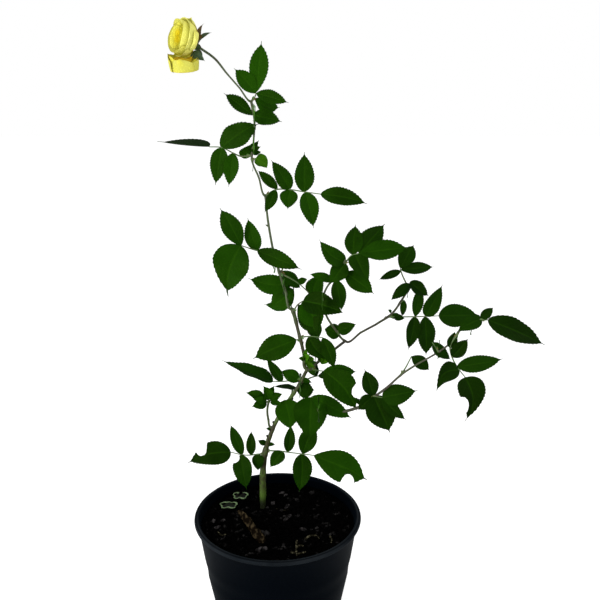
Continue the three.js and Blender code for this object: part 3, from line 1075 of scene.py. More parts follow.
@dataclass(frozen=True)
class PotFinish(Finish):
    """Black moulded plastic, satin, with dust in its grain and faint scuffs.

    Attributes:
        base: The plastic's colour.
        dust: The colour of the dust film.
        painted_lip_highlight: The colour of the lip's painted highlight.
        lip_highlight_above: The height from which the lip carries the painted highlight, in millimetres.
        bore: The radius of the opening; the wall within lies in shade and stays black, without the highlight.
        brim: The radius of the lip, whose inner and outer edges carry the brightest painted highlight.
    """

    base: Colour = (0.0004, 0.0008, 0.0016)
    dust: Colour = (0.0009, 0.0014, 0.0024)
    painted_lip_highlight: Colour = (0.0145, 0.0172, 0.0195)
    lip_highlight_above: float = 193.0
    bore: float = 78.0
    brim: float = 85.0

    def inputs(self, nodes: Nodes) -> dict:
        """Black with a film of dust and scuffs; the lip carries a painted highlight, brightest at its edges.

        Args:
            nodes: The material's nodes.

        Returns:
            The shader's inputs.
        """
        where = nodes.where()
        grain = nodes.noise(where, 1400.0, 2.0)
        film = nodes.noise(where, 14.0, 5.0)
        scuffs = nodes.ramp(nodes.noise(nodes.scaled(where, 1.0, 1.0, 0.06), 260.0, 5.0), 0.62, 0.72)
        dusty = nodes.times(nodes.ramp(film, 0.40, 0.75), 0.35)
        dusty = nodes.math("MAXIMUM", dusty, nodes.times(scuffs, 0.30))
        skin = nodes.mix(dusty, self.base, self.dust)
        x, y, height = nodes.parts(where)
        level = nodes.add("CombineXYZ", {0: x, 1: y}).outputs[0]
        reach = nodes.add("VectorMath", {0: level}, operation="LENGTH").outputs["Value"]
        outside = nodes.ramp(reach, self.bore * MM, (self.bore + 2.0) * MM)
        # Painted highlight: the lip above lip_highlight_above turns pale, patchy with the film, kept off the
        # bore and brightest along the lip's inner and outer edges.
        lip_highlight_share = nodes.ramp(height, (self.lip_highlight_above - 1.0) * MM, self.lip_highlight_above * MM)
        lip_highlight_share = nodes.times(lip_highlight_share, nodes.ramp(film, 0.25, 0.70))
        lip_highlight_share = nodes.times(lip_highlight_share, outside)
        inner = nodes.distance(reach, (self.bore + 1.6) * MM)
        outer = nodes.distance(reach, (self.brim - 0.4) * MM)
        edges = nodes.ramp(nodes.math("MINIMUM", inner, outer), 1.2 * MM, 0.6 * MM)
        lip_highlight_share = nodes.times(lip_highlight_share, nodes.math("MULTIPLY_ADD", edges, 0.75, 0.25))
        return {
            "Base Color": nodes.mix(lip_highlight_share, skin, self.painted_lip_highlight),
            "Roughness": nodes.math("MULTIPLY_ADD", film, 0.22, 0.27),
            "Specular IOR Level": 0.017,
            "Specular Tint": (0.36, 0.62, 0.90),
            "Sheen Weight": 0.015,
            "Sheen Tint": (0.30, 0.60, 0.85),
            "Sheen Roughness": 0.4,
            "Normal": nodes.bump(grain, 0.12, 0.0002),
        }


@dataclass(frozen=True)
class EarthFinish(Finish):
    """A crumbly or woody matt finish in two colours.

    Attributes:
        low: The darker colour.
        high: The lighter colour.
        scale: How fine its pattern is.
        cut: Where in the noise the lighter colour starts.
        drawn: Scale of the pattern along Y: the lower, the further it is drawn out.
    """

    low: Colour
    high: Colour
    scale: float
    cut: float = 0.55
    drawn: float = 1.0

    def inputs(self, nodes: Nodes) -> dict:
        """Two colours parted by one noise, which also roughens the skin.

        Args:
            nodes: The material's nodes.

        Returns:
            The shader's inputs.
        """
        crumbs = nodes.noise(nodes.scaled(nodes.where(), 1.0, self.drawn, 1.0), self.scale, 6.0)
        share = nodes.ramp(crumbs, self.cut - 0.05, self.cut + 0.13)
        return {
            "Base Color": nodes.mix(share, self.low, self.high),
            "Roughness": nodes.ramp(crumbs, -1.6, 0.9),
            "Specular IOR Level": 0.005,
            "Normal": nodes.bump(crumbs, 0.8, 0.0012),
        }


SOIL_FINISH = EarthFinish((0.0003, 0.0003, 0.0003), (0.0028, 0.0026, 0.0025), 300.0, 0.62)
CRUMB_FINISH = EarthFinish((0.0007, 0.0006, 0.0006), (0.0230, 0.0215, 0.0210), 75.0, 0.60)
STICK_FINISH = EarthFinish((0.0040, 0.0026, 0.0014), (0.048, 0.035, 0.018), 260.0, 0.52, 0.35)
CHIP_FINISH = EarthFinish((0.0060, 0.0055, 0.0055), (0.040, 0.036, 0.036), 300.0, 0.50, 0.5)
ROOT_FINISH = EarthFinish((0.0080, 0.0070, 0.0040), (0.100, 0.092, 0.055), 420.0, 0.54)


# ---- stems


@dataclass
class Stems:
    """The trunk and boughs with their bark, and the green shoots and twigs.

    Attributes:
        old: Trunk nodes, thickest first.
        boughs: Bough nodes, each after the limb that carries it.
        young: Green shoots and twigs, each after the limb that carries it.
        buried: How far the trunk goes on below the soil's surface.
        common_slim: How thick a limb is next to the frame's solid limb, where slim has no row.
        slim: The same for one limb, at even places from its foot to its end.
        paths: The centrelines, once built.
    """

    old: tuple[str, ...] = ("cane_base", "cane_middle")
    boughs: tuple[str, ...] = ("bough_a_lower", "bough_a_upper", "bough_b_lower", "bough_b_upper")
    young: tuple[str, ...] = ("shoot_lower", "shoot_upper", "flower_stalk", "twig_inner", "twig_low")
    buried: float = 9.0
    common_slim: float = 0.86
    slim: dict[str, tuple[float, ...]] = field(default_factory=lambda: {
        "cane_base": (0.86, 1.06, 0.98, 0.76, 0.76, 0.74, 0.72),
        "cane_middle": (0.84, 0.86, 0.90, 1.15),
        "bough_a_lower": (0.80, 0.76),
        "bough_a_upper": (0.72, 0.70, 0.90, 0.84, 0.84),
        "bough_b_upper": (0.76, 0.74, 0.62, 0.70, 0.78),
        "shoot_lower": (0.84, 0.82, 0.82),
        "shoot_upper": (0.82, 0.72, 0.72, 0.76, 0.95),
        "flower_stalk": (0.90, 0.76, 0.76, 0.92, 1.16, 1.16),
        "twig_inner": (0.90, 0.95),
        "twig_low": (1.35, 1.35)})
    paths: dict[str, Path] = field(default_factory=dict)

    def trace(self) -> None:
        """Reads the centrelines, and lengthens each foot to the limb that carries it."""
        for name in self.old + self.boughs + self.young:
            path = limb_path(name)
            if not self.paths:
                foot = path.points[0] - UP * self.buried
            else:
                carrier = min(self.paths.values(), key=lambda other: other.nearest(path.points[0])[1])
                foot = carrier.at(carrier.nearest(path.points[0])[0])[0]
            points = np.concatenate([[foot], path.points])
            slim = self.slim.get(name, (self.common_slim,) * 2)
            shares = np.concatenate([[0.0], path.knots / path.length])
            thin = np.interp(shares, np.linspace(0, 1, len(slim)), slim)
            self.paths[name] = Path(points, np.concatenate([[path.radii[0]], path.radii]) * thin)

    def host(self, points: Array) -> tuple[str, Array, float]:
        """The limb that carries a leaf.

        Args:
            points: The leaf node's points.

        Returns:
            The limb's name, the point on its centreline and the distance along it.
        """
        best = (1e9, "", 0.0)
        for name, path in self.paths.items():
            places, line, radii = path.sample(1.0)
            gaps = np.linalg.norm(points[:, None] - line[None], axis=2) - radii[None]
            row, column = np.unravel_index(int(np.argmin(gaps)), gaps.shape)
            if gaps[row, column] < best[0] - 0.05:
                best = (float(gaps[row, column]), name, float(places[column]))
        _, name, along = best
        return name, self.paths[name].at(along)[0], along

    def build(self, joints: dict[str, list[float]]) -> None:
        """Makes the stem pieces.

        Args:
            joints: For each limb, the distances at which leaves leave it.
        """
        groups = (
            ("stems_old", self.old[:1], OLD_RIND, "bark", 28, 0.22),
            ("stems_cane", self.old[1:], CANE_RIND, "bark", 22, 0.14),
            ("stems_boughs", self.boughs, BOUGH_RIND, "bark", 18, 0.12),
            ("stems_young", self.young, SHOOT_RIND, "green_shoot", 16, 0.06),
        )
        for number, (title, names, rind, slot, sides, relief) in enumerate(groups):
            tubes = [
                tube(self.paths[name], sides, 0.8, relief, 31 * number + k,
                     tuple(joints.get(name, ())) + (2.0,), 0.20)
                for k, name in enumerate(names)
            ]
            add_piece(title, tubes + self.bumps(names), rind, slot, *names)

    def bumps(self, names: tuple[str, ...]) -> list[Surface]:
        """Sleeping buds and the stub of a lost twig, on the limbs that have them.

        Args:
            names: The limbs.

        Returns:
            A ball for each bud or stub.
        """
        spots = {
            "cane_base": ((108.0, 0.0, 1.5, 2.6), (128.0, 20.0, 1.6, 2.2), (141.0, 180.0, 1.3, 2.4)),
            "shoot_lower": ((100.0, 0.0, 1.0, 3.0), (62.0, 250.0, 1.1, 2.4)),
            "cane_middle": ((60.0, 80.0, 1.3, 2.6),),
            "bough_a_upper": ((56.0, 320.0, 1.5, 2.6),),
            "bough_b_upper": ((70.0, 30.0, 1.1, 2.4), (112.0, 200.0, 1.1, 2.2)),
        }
        made = []
        for name in names:
            for along, turn, half_width, reach in spots.get(name, ()):
                path = self.paths[name]
                here, way = path.at(along)
                out = swung(*sides_of(way, BACK), math.radians(turn))
                radius = float(np.interp(along, path.knots, path.radii))
                tip = unit(out + 0.8 * way)
                across = unit(np.cross(tip, way))
                axes = np.stack([across * half_width, np.cross(tip, across) * half_width, tip * reach])
                made.append(ball(here + out * radius * 0.9, axes, 7, 10, 0.10, int(along)))
        return made


# ---- leaves


@dataclass(frozen=True)
class Form:
    """How a leaflet departs from a flat blade.

    Attributes:
        turn: Turn in the blade's own plane, in degrees.
        lengthen: Factor on the length.
        widen: Factor on the width.
        sickle: Sideways bow of the midrib, as a share of the length.
        hook: Sideways set of the tip, as a share of the length.
        shoulder: Exponent of the outline: the lower, the nearer the widest place is to the foot.
        arch: Rise of the midrib towards the upper side, as a share of the length.
        fold: Rise of the two halves from the midrib, as a share of the half width.
        twist: Turn from foot to tip about the midrib, in degrees.
        roll: Turn of the whole leaflet about its midrib, in degrees.
        curl: How far the margins roll under, in degrees.
        wave: Height of the margin's waves, as a share of the half width.
        drip: Length of the fine tip, as a share of the length.
        bites: Missing places, each (share along, side, reach, half length).
        shade: Its tone within its spray, from -1 for dark to 1 for bright; chance where not given.
    """

    turn: float = 0.0
    lengthen: float = 1.0
    widen: float = 1.04
    sickle: float = 0.0
    hook: float = 0.0
    shoulder: float = 0.82
    arch: float = 0.05
    fold: float = 0.16
    twist: float = 0.0
    roll: float = 0.0
    curl: float = 0.0
    wave: float = 0.03
    drip: float = 0.09
    bites: tuple[tuple[float, int, float, float], ...] = ()
    shade: float | None = None


# How the leaflets of leaf nodes have grown, each node under its name after "leaf_", its leaflets
# in order of the clock that they point to: turn, factors on length and width, sickle, hook and
# shoulder.
GROWN_FIELDS = ("turn", "lengthen", "widen", "sickle", "hook", "shoulder")
GROWN = {
    "a_arch": ((0, 1.13, 1.07, 0.01, -0.18, 0.82), (7, 1.17, 1.34, -0.12, -0.06, 0.85)),
    "a_node": (
        (0, 0.96, 1, 0, -0.02, 0.73), (-1, 1.14, 1.12, 0, 0, 0.91), (0, 1.04, 1.06, 0, 0, 0.65),
        (0, 1.1, 1.04, 0, 0, 0.77), (1, 1.1, 1.15, 0, 0, 0.82), (0, 1, 0.97, 0, -0.02, 0.87)),
    "a_small": ((1, 1.14, 0.9, 0, 0, 0.86),),
    "a_tip": ((0, 1, 0.81, 0, 0, 0.81), (0, 1, 1.04, -0.02, -0.11, 1.07), (0, 1, 0.88, 0, 0.02, 1)),
    "b_bud": ((4, 0.9, 0.92, 0.02, 0, 0.98),),
    "b_cluster": (
        (0, 1.03, 1.06, -0.02, 0, 0.87), (0, 1.15, 1.15, 0, 0.02, 0.87), (0, 1.02, 1.23, 0, 0, 0.73),
        (0, 0.98, 0.8, -0.05, 0, 0.73), (0, 1.02, 1.02, 0, 0, 0.83)),
    "b_hanging": (
        (-11, 1.12, 1.12, -0.06, 0.5, 0.7), (7, 0.91, 1.09, 0, 0, 0.82), (0, 0.95, 1, 0, 0.02, 0.82),
        (0, 0.94, 0.88, 0, 0.04, 0.81), (7, 1.06, 1.18, 0.05, -0.3, 0.55)),
    "b_middle": ((0, 1.02, 0.85, -0.02, 0.11, 0.8),),
    "b_tip": ((0, 1.05, 1.03, 0, 0.13, 0.66), (2, 1.2, 1.1, 0, 0, 0.82), (0, 1.03, 0.89, 0.01, 0.02, 0.77)),
    "behind_shoot": (
        (2, 0.95, 1.3, 0.06, 0.04, 0.91), (0, 1.05, 0.97, 0.07, -0.02, 0.95),
        (0, 1.16, 1.27, -0.06, -0.24, 0.99)),
    "centre": ((0, 1.02, 1.11, 0, -0.07, 0.69), (0, 0.86, 1, 0.06, 0, 1.19), (19, 0.95, 1.2, 0, 0, 0.91)),
    "centre_low": ((7, 1.05, 1.04, -0.06, 0.1, 0.75), (0, 1.08, 1.15, 0, -0.07, 0.89)),
    "collar": ((0, 0.92, 0.9, 0, 0, 1.12), (0, 1, 1.06, 0, -0.02, 0.76)),
    "curled": ((6, 1.35, 1.48, -0.04, -0.56, 0.54),),
    "front_lower": ((0, 1.08, 1.11, 0, 0, 0.66), (0, 1.03, 1, 0, -0.02, 0.87)),
    "front_upper": ((0, 1.06, 0.91, 0, 0, 0.9), (0, 1.1, 1.35, 0.07, -0.05, 0.81)),
    "left": ((0, 1.1, 1.19, 0.04, -0.14, 0.66), (2, 1.75, 1.7, 0, 0, 0.82), (0, 1.11, 0.92, 0, 0, 0.81)),
    "left_upper": ((0, 1.03, 1.04, 0, 0.04, 0.94),),
    "low_back": ((0, 0.95, 0.9, 0, 0, 0.82), (1, 1.05, 1.26, 0.01, -0.11, 0.93)),
    "low_front": ((0, 1.05, 1.2, 0.02, -0.07, 0.67),),
    "low_left": (
        (0, 1.1, 0.88, -0.06, 0.05, 0.68), (0, 0.89, 0.83, -0.02, -0.07, 0.84), (0, 1, 1, 0, 0.02, 0.85),
        (-4, 1.09, 1.04, 0, 0, 0.66), (7, 0.89, 0.97, 0, 0.02, 0.74)),
    "low_right": (
        (0, 0.99, 1.08, -0.05, 0, 0.67), (0, 1.1, 0.97, 0, 0.05, 0.87), (0, 1.06, 0.9, 0, -0.02, 0.97),
        (0, 0.97, 1.16, 0, -0.07, 1.12), (0, 0.97, 1.02, 0.02, -0.07, 0.73)),
    "middle_left": (
        (-20, 0.92, 1.03, 0.01, 0.24, 0.76), (0, 1.08, 1.02, 0, 0.07, 1), (0, 1.02, 1.08, 0.02, 0.04, 0.78),
        (0, 1, 1.02, 0, 0, 0.89)),
    "shoot_inner": ((-7, 0.96, 1.13, 0.06, -0.19, 0.78), (-9, 0.97, 1.11, 0, 0, 0.82)),
    "top": (
        (0, 1, 0.94, 0, 0.04, 0.97), (0, 0.96, 0.9, 0, 0, 1.08), (-2, 1.1, 0.88, 0, 0, 0.88),
        (0, 0.92, 1.19, -0.07, 0.19, 1.12)),
    "twig_bend": ((0, 1.05, 0.81, 0, 0, 0.92), (0, 0.98, 0.93, 0, 0, 0.77)),
    "twig_foot": ((0, 1, 1.3, -0.05, -0.04, 0.85), (0, 1, 1.09, -0.02, 0.04, 0.59)),
    "twig_side": ((0, 0.94, 0.97, 0, -0.02, 0.86),),
    "twig_tip": (
        (0, 0.98, 1.09, 0, -0.04, 0.78), (0, 0.99, 1, 0.06, -0.19, 0.7), (0, 1.03, 1.02, 0, -0.05, 0.87),
        (0, 1, 1.48, 0, 0, 0.7), (0, 0.98, 0.93, 0, 0, 1.05), (-2, 1.14, 1.16, 0, 0.12, 0.5)),
    "upper_left": (
        (0, 0.98, 0.98, 0.02, 0, 0.82), (1, 1.01, 1.07, 0, 0, 0.72), (-10, 1.06, 1.5, 0.12, 0.07, 0.64),
        (-2, 1.18, 0.84, -0.08, -0.28, 0.88), (0, 0.97, 1.09, -0.06, 0.12, 0.5)),
    "upper_right": (
        (2, 1, 1.13, -0.04, 0.02, 0.7), (0, 1.15, 0.87, 0, -0.08, 0.79), (0, 1, 0.79, 0.05, 0.16, 0.86),
        (0, 1, 0.99, -0.01, 0, 0.68), (0, 0.92, 1.02, 0, 0, 0.77), (0, 0.99, 0.85, 0, -0.08, 0.84),
        (0, 0.98, 0.97, 0, 0, 0.77)),
}

# What else is a leaflet's own, under (node, its place in that order).
OWN_FORMS = {
    ("low_left", 0): {"bites": ((0.62, -1, 1.02, 0.13),)},
    ("low_left", 4): {"bites": ((0.1, -1, 0.7, 0.1),)},
    ("low_right", 3): {"bites": ((0.67, -1, 0.72, 0.11),), "arch": 0.03, "drip": 0.08},
    ("middle_left", 0): {"drip": 0.15},
    ("upper_left", 2): {"fold": 0.2, "arch": 0.02, "roll": -4, "drip": 0.2, "shade": -0.6,
                        "wave": 0, "twist": 0},
    ("left", 0): {"fold": 0.3, "twist": 12, "arch": 0.06},
    ("centre", 0): {"shade": -0.9, "drip": 0.03},
    ("centre", 1): {"drip": 0, "shade": -0.7},
    ("centre", 2): {"drip": 0, "shade": 0.4},
    ("centre_low", 0): {"shade": -0.3, "drip": 0},
    ("centre_low", 1): {"shade": -0.3},
    ("twig_foot", 0): {"drip": 0},
    ("front_upper", 1): {"bites": ((0.69, 1, 0.72, 0.11),)},
    ("behind_shoot", 0): {"drip": 0},
    ("b_hanging", 0): {"fold": 0.2, "drip": 0.02},
    ("b_hanging", 2): {"shade": -0.4},
    ("b_hanging", 4): {"fold": 0.25, "shade": -0.5, "bites": ((0.56, -1, 0.5, 0.2),)},
    ("front_upper", 0): {"fold": 0.2},
    ("a_arch", 0): {"arch": 0.1, "fold": 0.3},
    ("a_arch", 1): {"arch": 0.1, "fold": 0.3},
    ("curled", 0): {"curl": -60, "fold": -0.3, "arch": -0.1},
    ("b_tip", 2): {"shade": -0.4},
}

# The foliage's tone is dealt out by spray. Sprays not named here are MIDDLE.
SPRAYS = {
    Tone.DEEP: "a_arch a_node a_small a_tip b_bud b_cluster b_hanging b_middle b_tip low_back low_left",
    Tone.BRIGHT: "back_low back_middle back_upper behind_shoot centre collar front_upper low_front "
                 "shoot_inner top twig_bend twig_side",
    Tone.YOUNG: "curled",
}
SPRAY_TONES = {spray: tone for tone, sprays in SPRAYS.items() for spray in sprays.split()}


# Leaves whose stalks leave their limb below the place nearest to the leaf: the limb and the share
# of its length.
LOW_ROOTS = {"b_bud": ("bough_b_upper", 0.37)}


@dataclass
class LeafletMaker:
    """Makes one leaflet as a grid of rows along it and columns across it.

    Attributes:
        teeth: Teeth on each side of the margin.
        rows_per_tooth: Rows of points to a tooth.
        tooth: A tooth's height, in millimetres.
        columns: Where the columns lie, from midrib to margin, as shares of the half width.
        vein_count: Side veins on each half.
        vein_slant: How many veins' steps a side vein climbs on its way to the margin.
        reach: A leaflet's length next to its flat blade's.
        taper: Share by which the last fifth narrows towards the tip.
        neck: Least half width near the foot, as a share of the width.
        quilt: Height of the swellings between the side veins, in millimetres.
        furrow: Depth of the midrib's furrow, in millimetres.
        ripples: Waves of the margin from foot to tip.
    """

    teeth: int = 15
    rows_per_tooth: int = 5
    tooth: float = 0.75
    columns: tuple[float, ...] = (0.0, 0.1, 0.3, 0.52, 0.74, 0.9, 1.0)
    vein_count: float = 9.0
    vein_slant: float = 2.4
    reach: float = 0.981
    taper: float = 0.28
    neck: float = 0.11
    quilt: float = 0.16
    furrow: float = 0.35
    ripples: float = 2.6

    def surface(self, blade: Blade, form: Form, rng: np.random.Generator) -> Surface:
        """The leaflet that grows where a flat blade lies.

        Across is u from -1 to 1 and along is v from 0 to 1. The point is
        foot + axis L v + side (u h(v) + L (sickle sin(pi v) + hook v^3)) + normal z, where h is
        the half width with its teeth and z adds the arch, the fold |u|, the margin's waves, the
        quilting between the side veins and the midrib's furrow. The twist turns each row about
        the midrib, and the curl bends each half row under as an arc.

        Args:
            blade: The blade.
            form: Its form.
            rng: Source of its small chances.

        Returns:
            The surface, with uv (across, along) and a tint of its own.
        """
        rows = self.teeth * self.rows_per_tooth + 1
        v = np.linspace(0.0, 1.0, rows)[:, None]
        half = np.array(self.columns)
        u = np.concatenate([-half[:0:-1], half])[None, :]
        sign, out = np.sign(u), np.abs(u)

        step = (np.arange(rows) % self.rows_per_tooth)[:, None] / (self.rows_per_tooth - 1)
        drawn_tip = 1 + form.drip
        body = blade_half_width(v * drawn_tip, form.shoulder) * np.where(v > 1 / drawn_tip, 0, 1)
        body = body * (1 - self.taper * np.clip((v - 0.80) / 0.20, 0, 1))
        half_width = np.hypot(body, self.neck * (1 - v) ** 0.6 * v) * blade.width * form.widen
        edge = half_width + self.tooth * (step - 0.35) * np.clip(half_width / 4.0, 0.0, 1.0)
        keep = np.ones((rows, u.shape[1]))
        for place_at, side, reach, span in form.bites:
            notch = reach * np.sqrt(np.clip(1 - ((v - place_at) / span) ** 2, 0, 1))
            keep = keep * np.where(sign == side, 1 - np.minimum(notch, 0.97), 1.0)
        width = u * np.where(out > 0.95, edge, half_width) * keep

        roll = math.radians(form.curl) * out * np.abs(keep)
        rolled = np.abs(roll) > 1e-3
        bent = np.where(rolled, roll, 1.0)
        across = width * np.where(rolled, np.sin(roll) / bent, 1.0)
        sink = np.where(rolled, (1 - np.cos(roll)) / bent, 0.0)
        phase = rng.uniform(0, FULL_TURN, 2)
        waves = np.sin(v * FULL_TURN * self.ripples + phase[0] + phase[1] * sign) * form.wave * out**2
        veins = np.cos(FULL_TURN * (v * self.vein_count - self.vein_slant * out))
        between = np.clip(half_width / 8, 0, 1) * np.sin(math.pi * np.clip(out, 0, 1)) ** 0.7
        groove = np.exp(-(out / 0.09) ** 2) * np.sqrt(np.clip(v, 0, 1))
        length = self.reach * blade.length * form.lengthen * drawn_tip
        rise = (form.fold - sink) * np.abs(width) + waves * half_width
        rise = rise + self.quilt * between * (veins + 0.3) - self.furrow * groove
        rise = rise + length * form.arch * np.sin(math.pi * v**0.9)

        spin = math.radians(form.roll) + math.radians(form.twist) * v
        turn = math.radians(form.turn)
        aside = np.cross(blade.normal, blade.axis)
        bow = length * (form.sickle * np.sin(math.pi * v) + form.hook * v**3)
        sideways = across * np.cos(spin) - rise * np.sin(spin) + bow
        upward = rise * np.cos(spin) + across * np.sin(spin)
        forward = length * (v - 0.3 * abs(form.hook) * v**3) + 0.5 * out * step * self.tooth
        points = (
            blade.foot
            + forward[..., None] * swung(blade.axis, aside, turn)
            + sideways[..., None] * swung(aside, -blade.axis, turn)
            + upward[..., None] * blade.normal
        )
        chance = rng.uniform(-0.25, 0.75)
        tint = np.full(points[..., 0].size, chance if form.shade is None else form.shade)
        leaflet = patch(points, u / 2 + 0.5, v, tint)
        return replace(leaflet, quads=leaflet.quads[:, ::-1])


SMALL_LEAF_MAKER = LeafletMaker(6, 3, 0.35, (0.0, 0.35, 0.75, 1.0), 5)
SEPAL_MAKER = LeafletMaker(8, 3, 0.3, (0.0, 0.3, 0.7, 1.0), 4)


@dataclass(frozen=True)
class Sprout:
    """A tuft of small young leaves at a place on a limb.

    Attributes:
        limb: The limb.
        share: Place along it, 0 to 1.
        tone: Its green.
        leaves: Each leaf as (clock, lean, length, width).
    """

    limb: str
    share: float
    tone: Tone
    leaves: tuple[tuple[float, float, float, float], ...]


SPROUTS = (
    Sprout("twig_low", 0.94, Tone.BRIGHT, (
        (-58, 10, 24, 12), (-92, 22, 18, 12), (-112, 10, 14, 9), (-22, 0, 18, 12), (-70, 34, 18, 9),
        (62, 5, 17, 10), (100, 15, 14, 7), (20, -20, 16, 9))),
    Sprout("cane_middle", 0.16, Tone.YOUNG, (
        (-8, 45, 13, 6), (28, 42, 16, 8), (68, 40, 15, 7), (-52, 45, 9, 5), (105, 45, 15, 6), (48, 55, 14, 6),
        (140, 50, 12, 5), (10, 30, 18, 5))),
    Sprout("bough_a_lower", 0.30, Tone.YOUNG, (
        (30, 45, 12, 6), (75, 40, 13, 7), (-20, 50, 12, 6), (0, 30, 9, 5))),
    Sprout("cane_base", 0.93, Tone.MIDDLE, ((85, 35, 13, 6), (-110, 20, 10, 4))),
    Sprout("cane_base", 0.46, Tone.DEEP, ((-55, 10, 11, 7), (85, 15, 9, 5))),
    Sprout("cane_base", 0.56, Tone.MIDDLE, ((-60, 10, 7, 4), (-30, 0, 6, 3.5))),
    Sprout("bough_a_upper", 0.60, Tone.MIDDLE, ((-40, 20, 7, 4), (110, 20, 9, 5), (165, 10, 6, 5))),
    Sprout("shoot_upper", 0.46, Tone.MIDDLE, ((48, 20, 12, 8), (15, 15, 12, 8), (80, 10, 10, 6))),
    Sprout("bough_b_upper", 0.03, Tone.MIDDLE, ((-60, 20, 9, 6), (20, 25, 8, 6))),
    Sprout("shoot_lower", 0.10, Tone.MIDDLE, ((25, 10, 9, 4), (110, 15, 7, 4))),
)


@dataclass(frozen=True)
class DeepLeaf:
    """A compound leaf that grows straight back or forward, so the crown is full from its sides.

    Attributes:
        limb: The limb.
        share: Place along it, 0 to 1.
        clock: The way it grows, clockwise from up.
        lean: How far it leans out to the front.
        length: Of its stalk.
        pairs: Pairs of leaflets below the last one.
        size: Length of a leaflet.
        tone: Its green.
    """

    limb: str
    share: float
    clock: float
    lean: float
    length: float
    pairs: int
    size: float
    tone: Tone = Tone.MIDDLE


DEEP_LEAVES = (
    DeepLeaf("cane_base", 0.80, 178, -68, 44, 2, 27, Tone.DEEP),
    DeepLeaf("cane_base", 0.90, 0, 69, 36, 1, 24),
    DeepLeaf("cane_middle", 0.35, 180, -72, 34, 1, 18, Tone.DEEP),
    DeepLeaf("bough_a_lower", 0.23, 176, -70, 40, 2, 24),
    DeepLeaf("bough_b_lower", 0.20, 180, -67, 40, 2, 26, Tone.DEEP),
    DeepLeaf("bough_b_lower", 0.40, -3, 67, 34, 1, 26),
    DeepLeaf("bough_b_upper", 0.11, 165, -67, 44, 2, 26, Tone.DEEP),
    DeepLeaf("bough_b_upper", 0.67, 130, -74, 30, 1, 18, Tone.DEEP),
    DeepLeaf("bough_b_upper", 0.94, 139, -69, 30, 1, 20, Tone.DEEP),
    DeepLeaf("bough_a_upper", 0.91, 146, -74, 22, 1, 16, Tone.DEEP),
    DeepLeaf("shoot_lower", 0.20, -174, -76, 44, 2, 26, Tone.BRIGHT),
    DeepLeaf("shoot_lower", 0.24, 6, 76, 36, 1, 24),
    DeepLeaf("shoot_lower", 0.45, -160, -72, 32, 1, 20),
    DeepLeaf("twig_inner", 0.50, 172, -76, 34, 2, 22, Tone.BRIGHT),
    DeepLeaf("twig_inner", 0.53, -8, 76, 32, 1, 22),
    DeepLeaf("twig_inner", 0.89, 100, -82, 32, 1, 24),
    DeepLeaf("shoot_upper", 0.42, -165, -80, 33, 1, 20),
    DeepLeaf("shoot_upper", 0.52, 30, 78, 25, 1, 17, Tone.BRIGHT),
    DeepLeaf("shoot_upper", 0.80, -20, -80, 30, 1, 22),
    DeepLeaf("shoot_upper", 0.90, 150, 80, 24, 1, 19, Tone.BRIGHT),
)


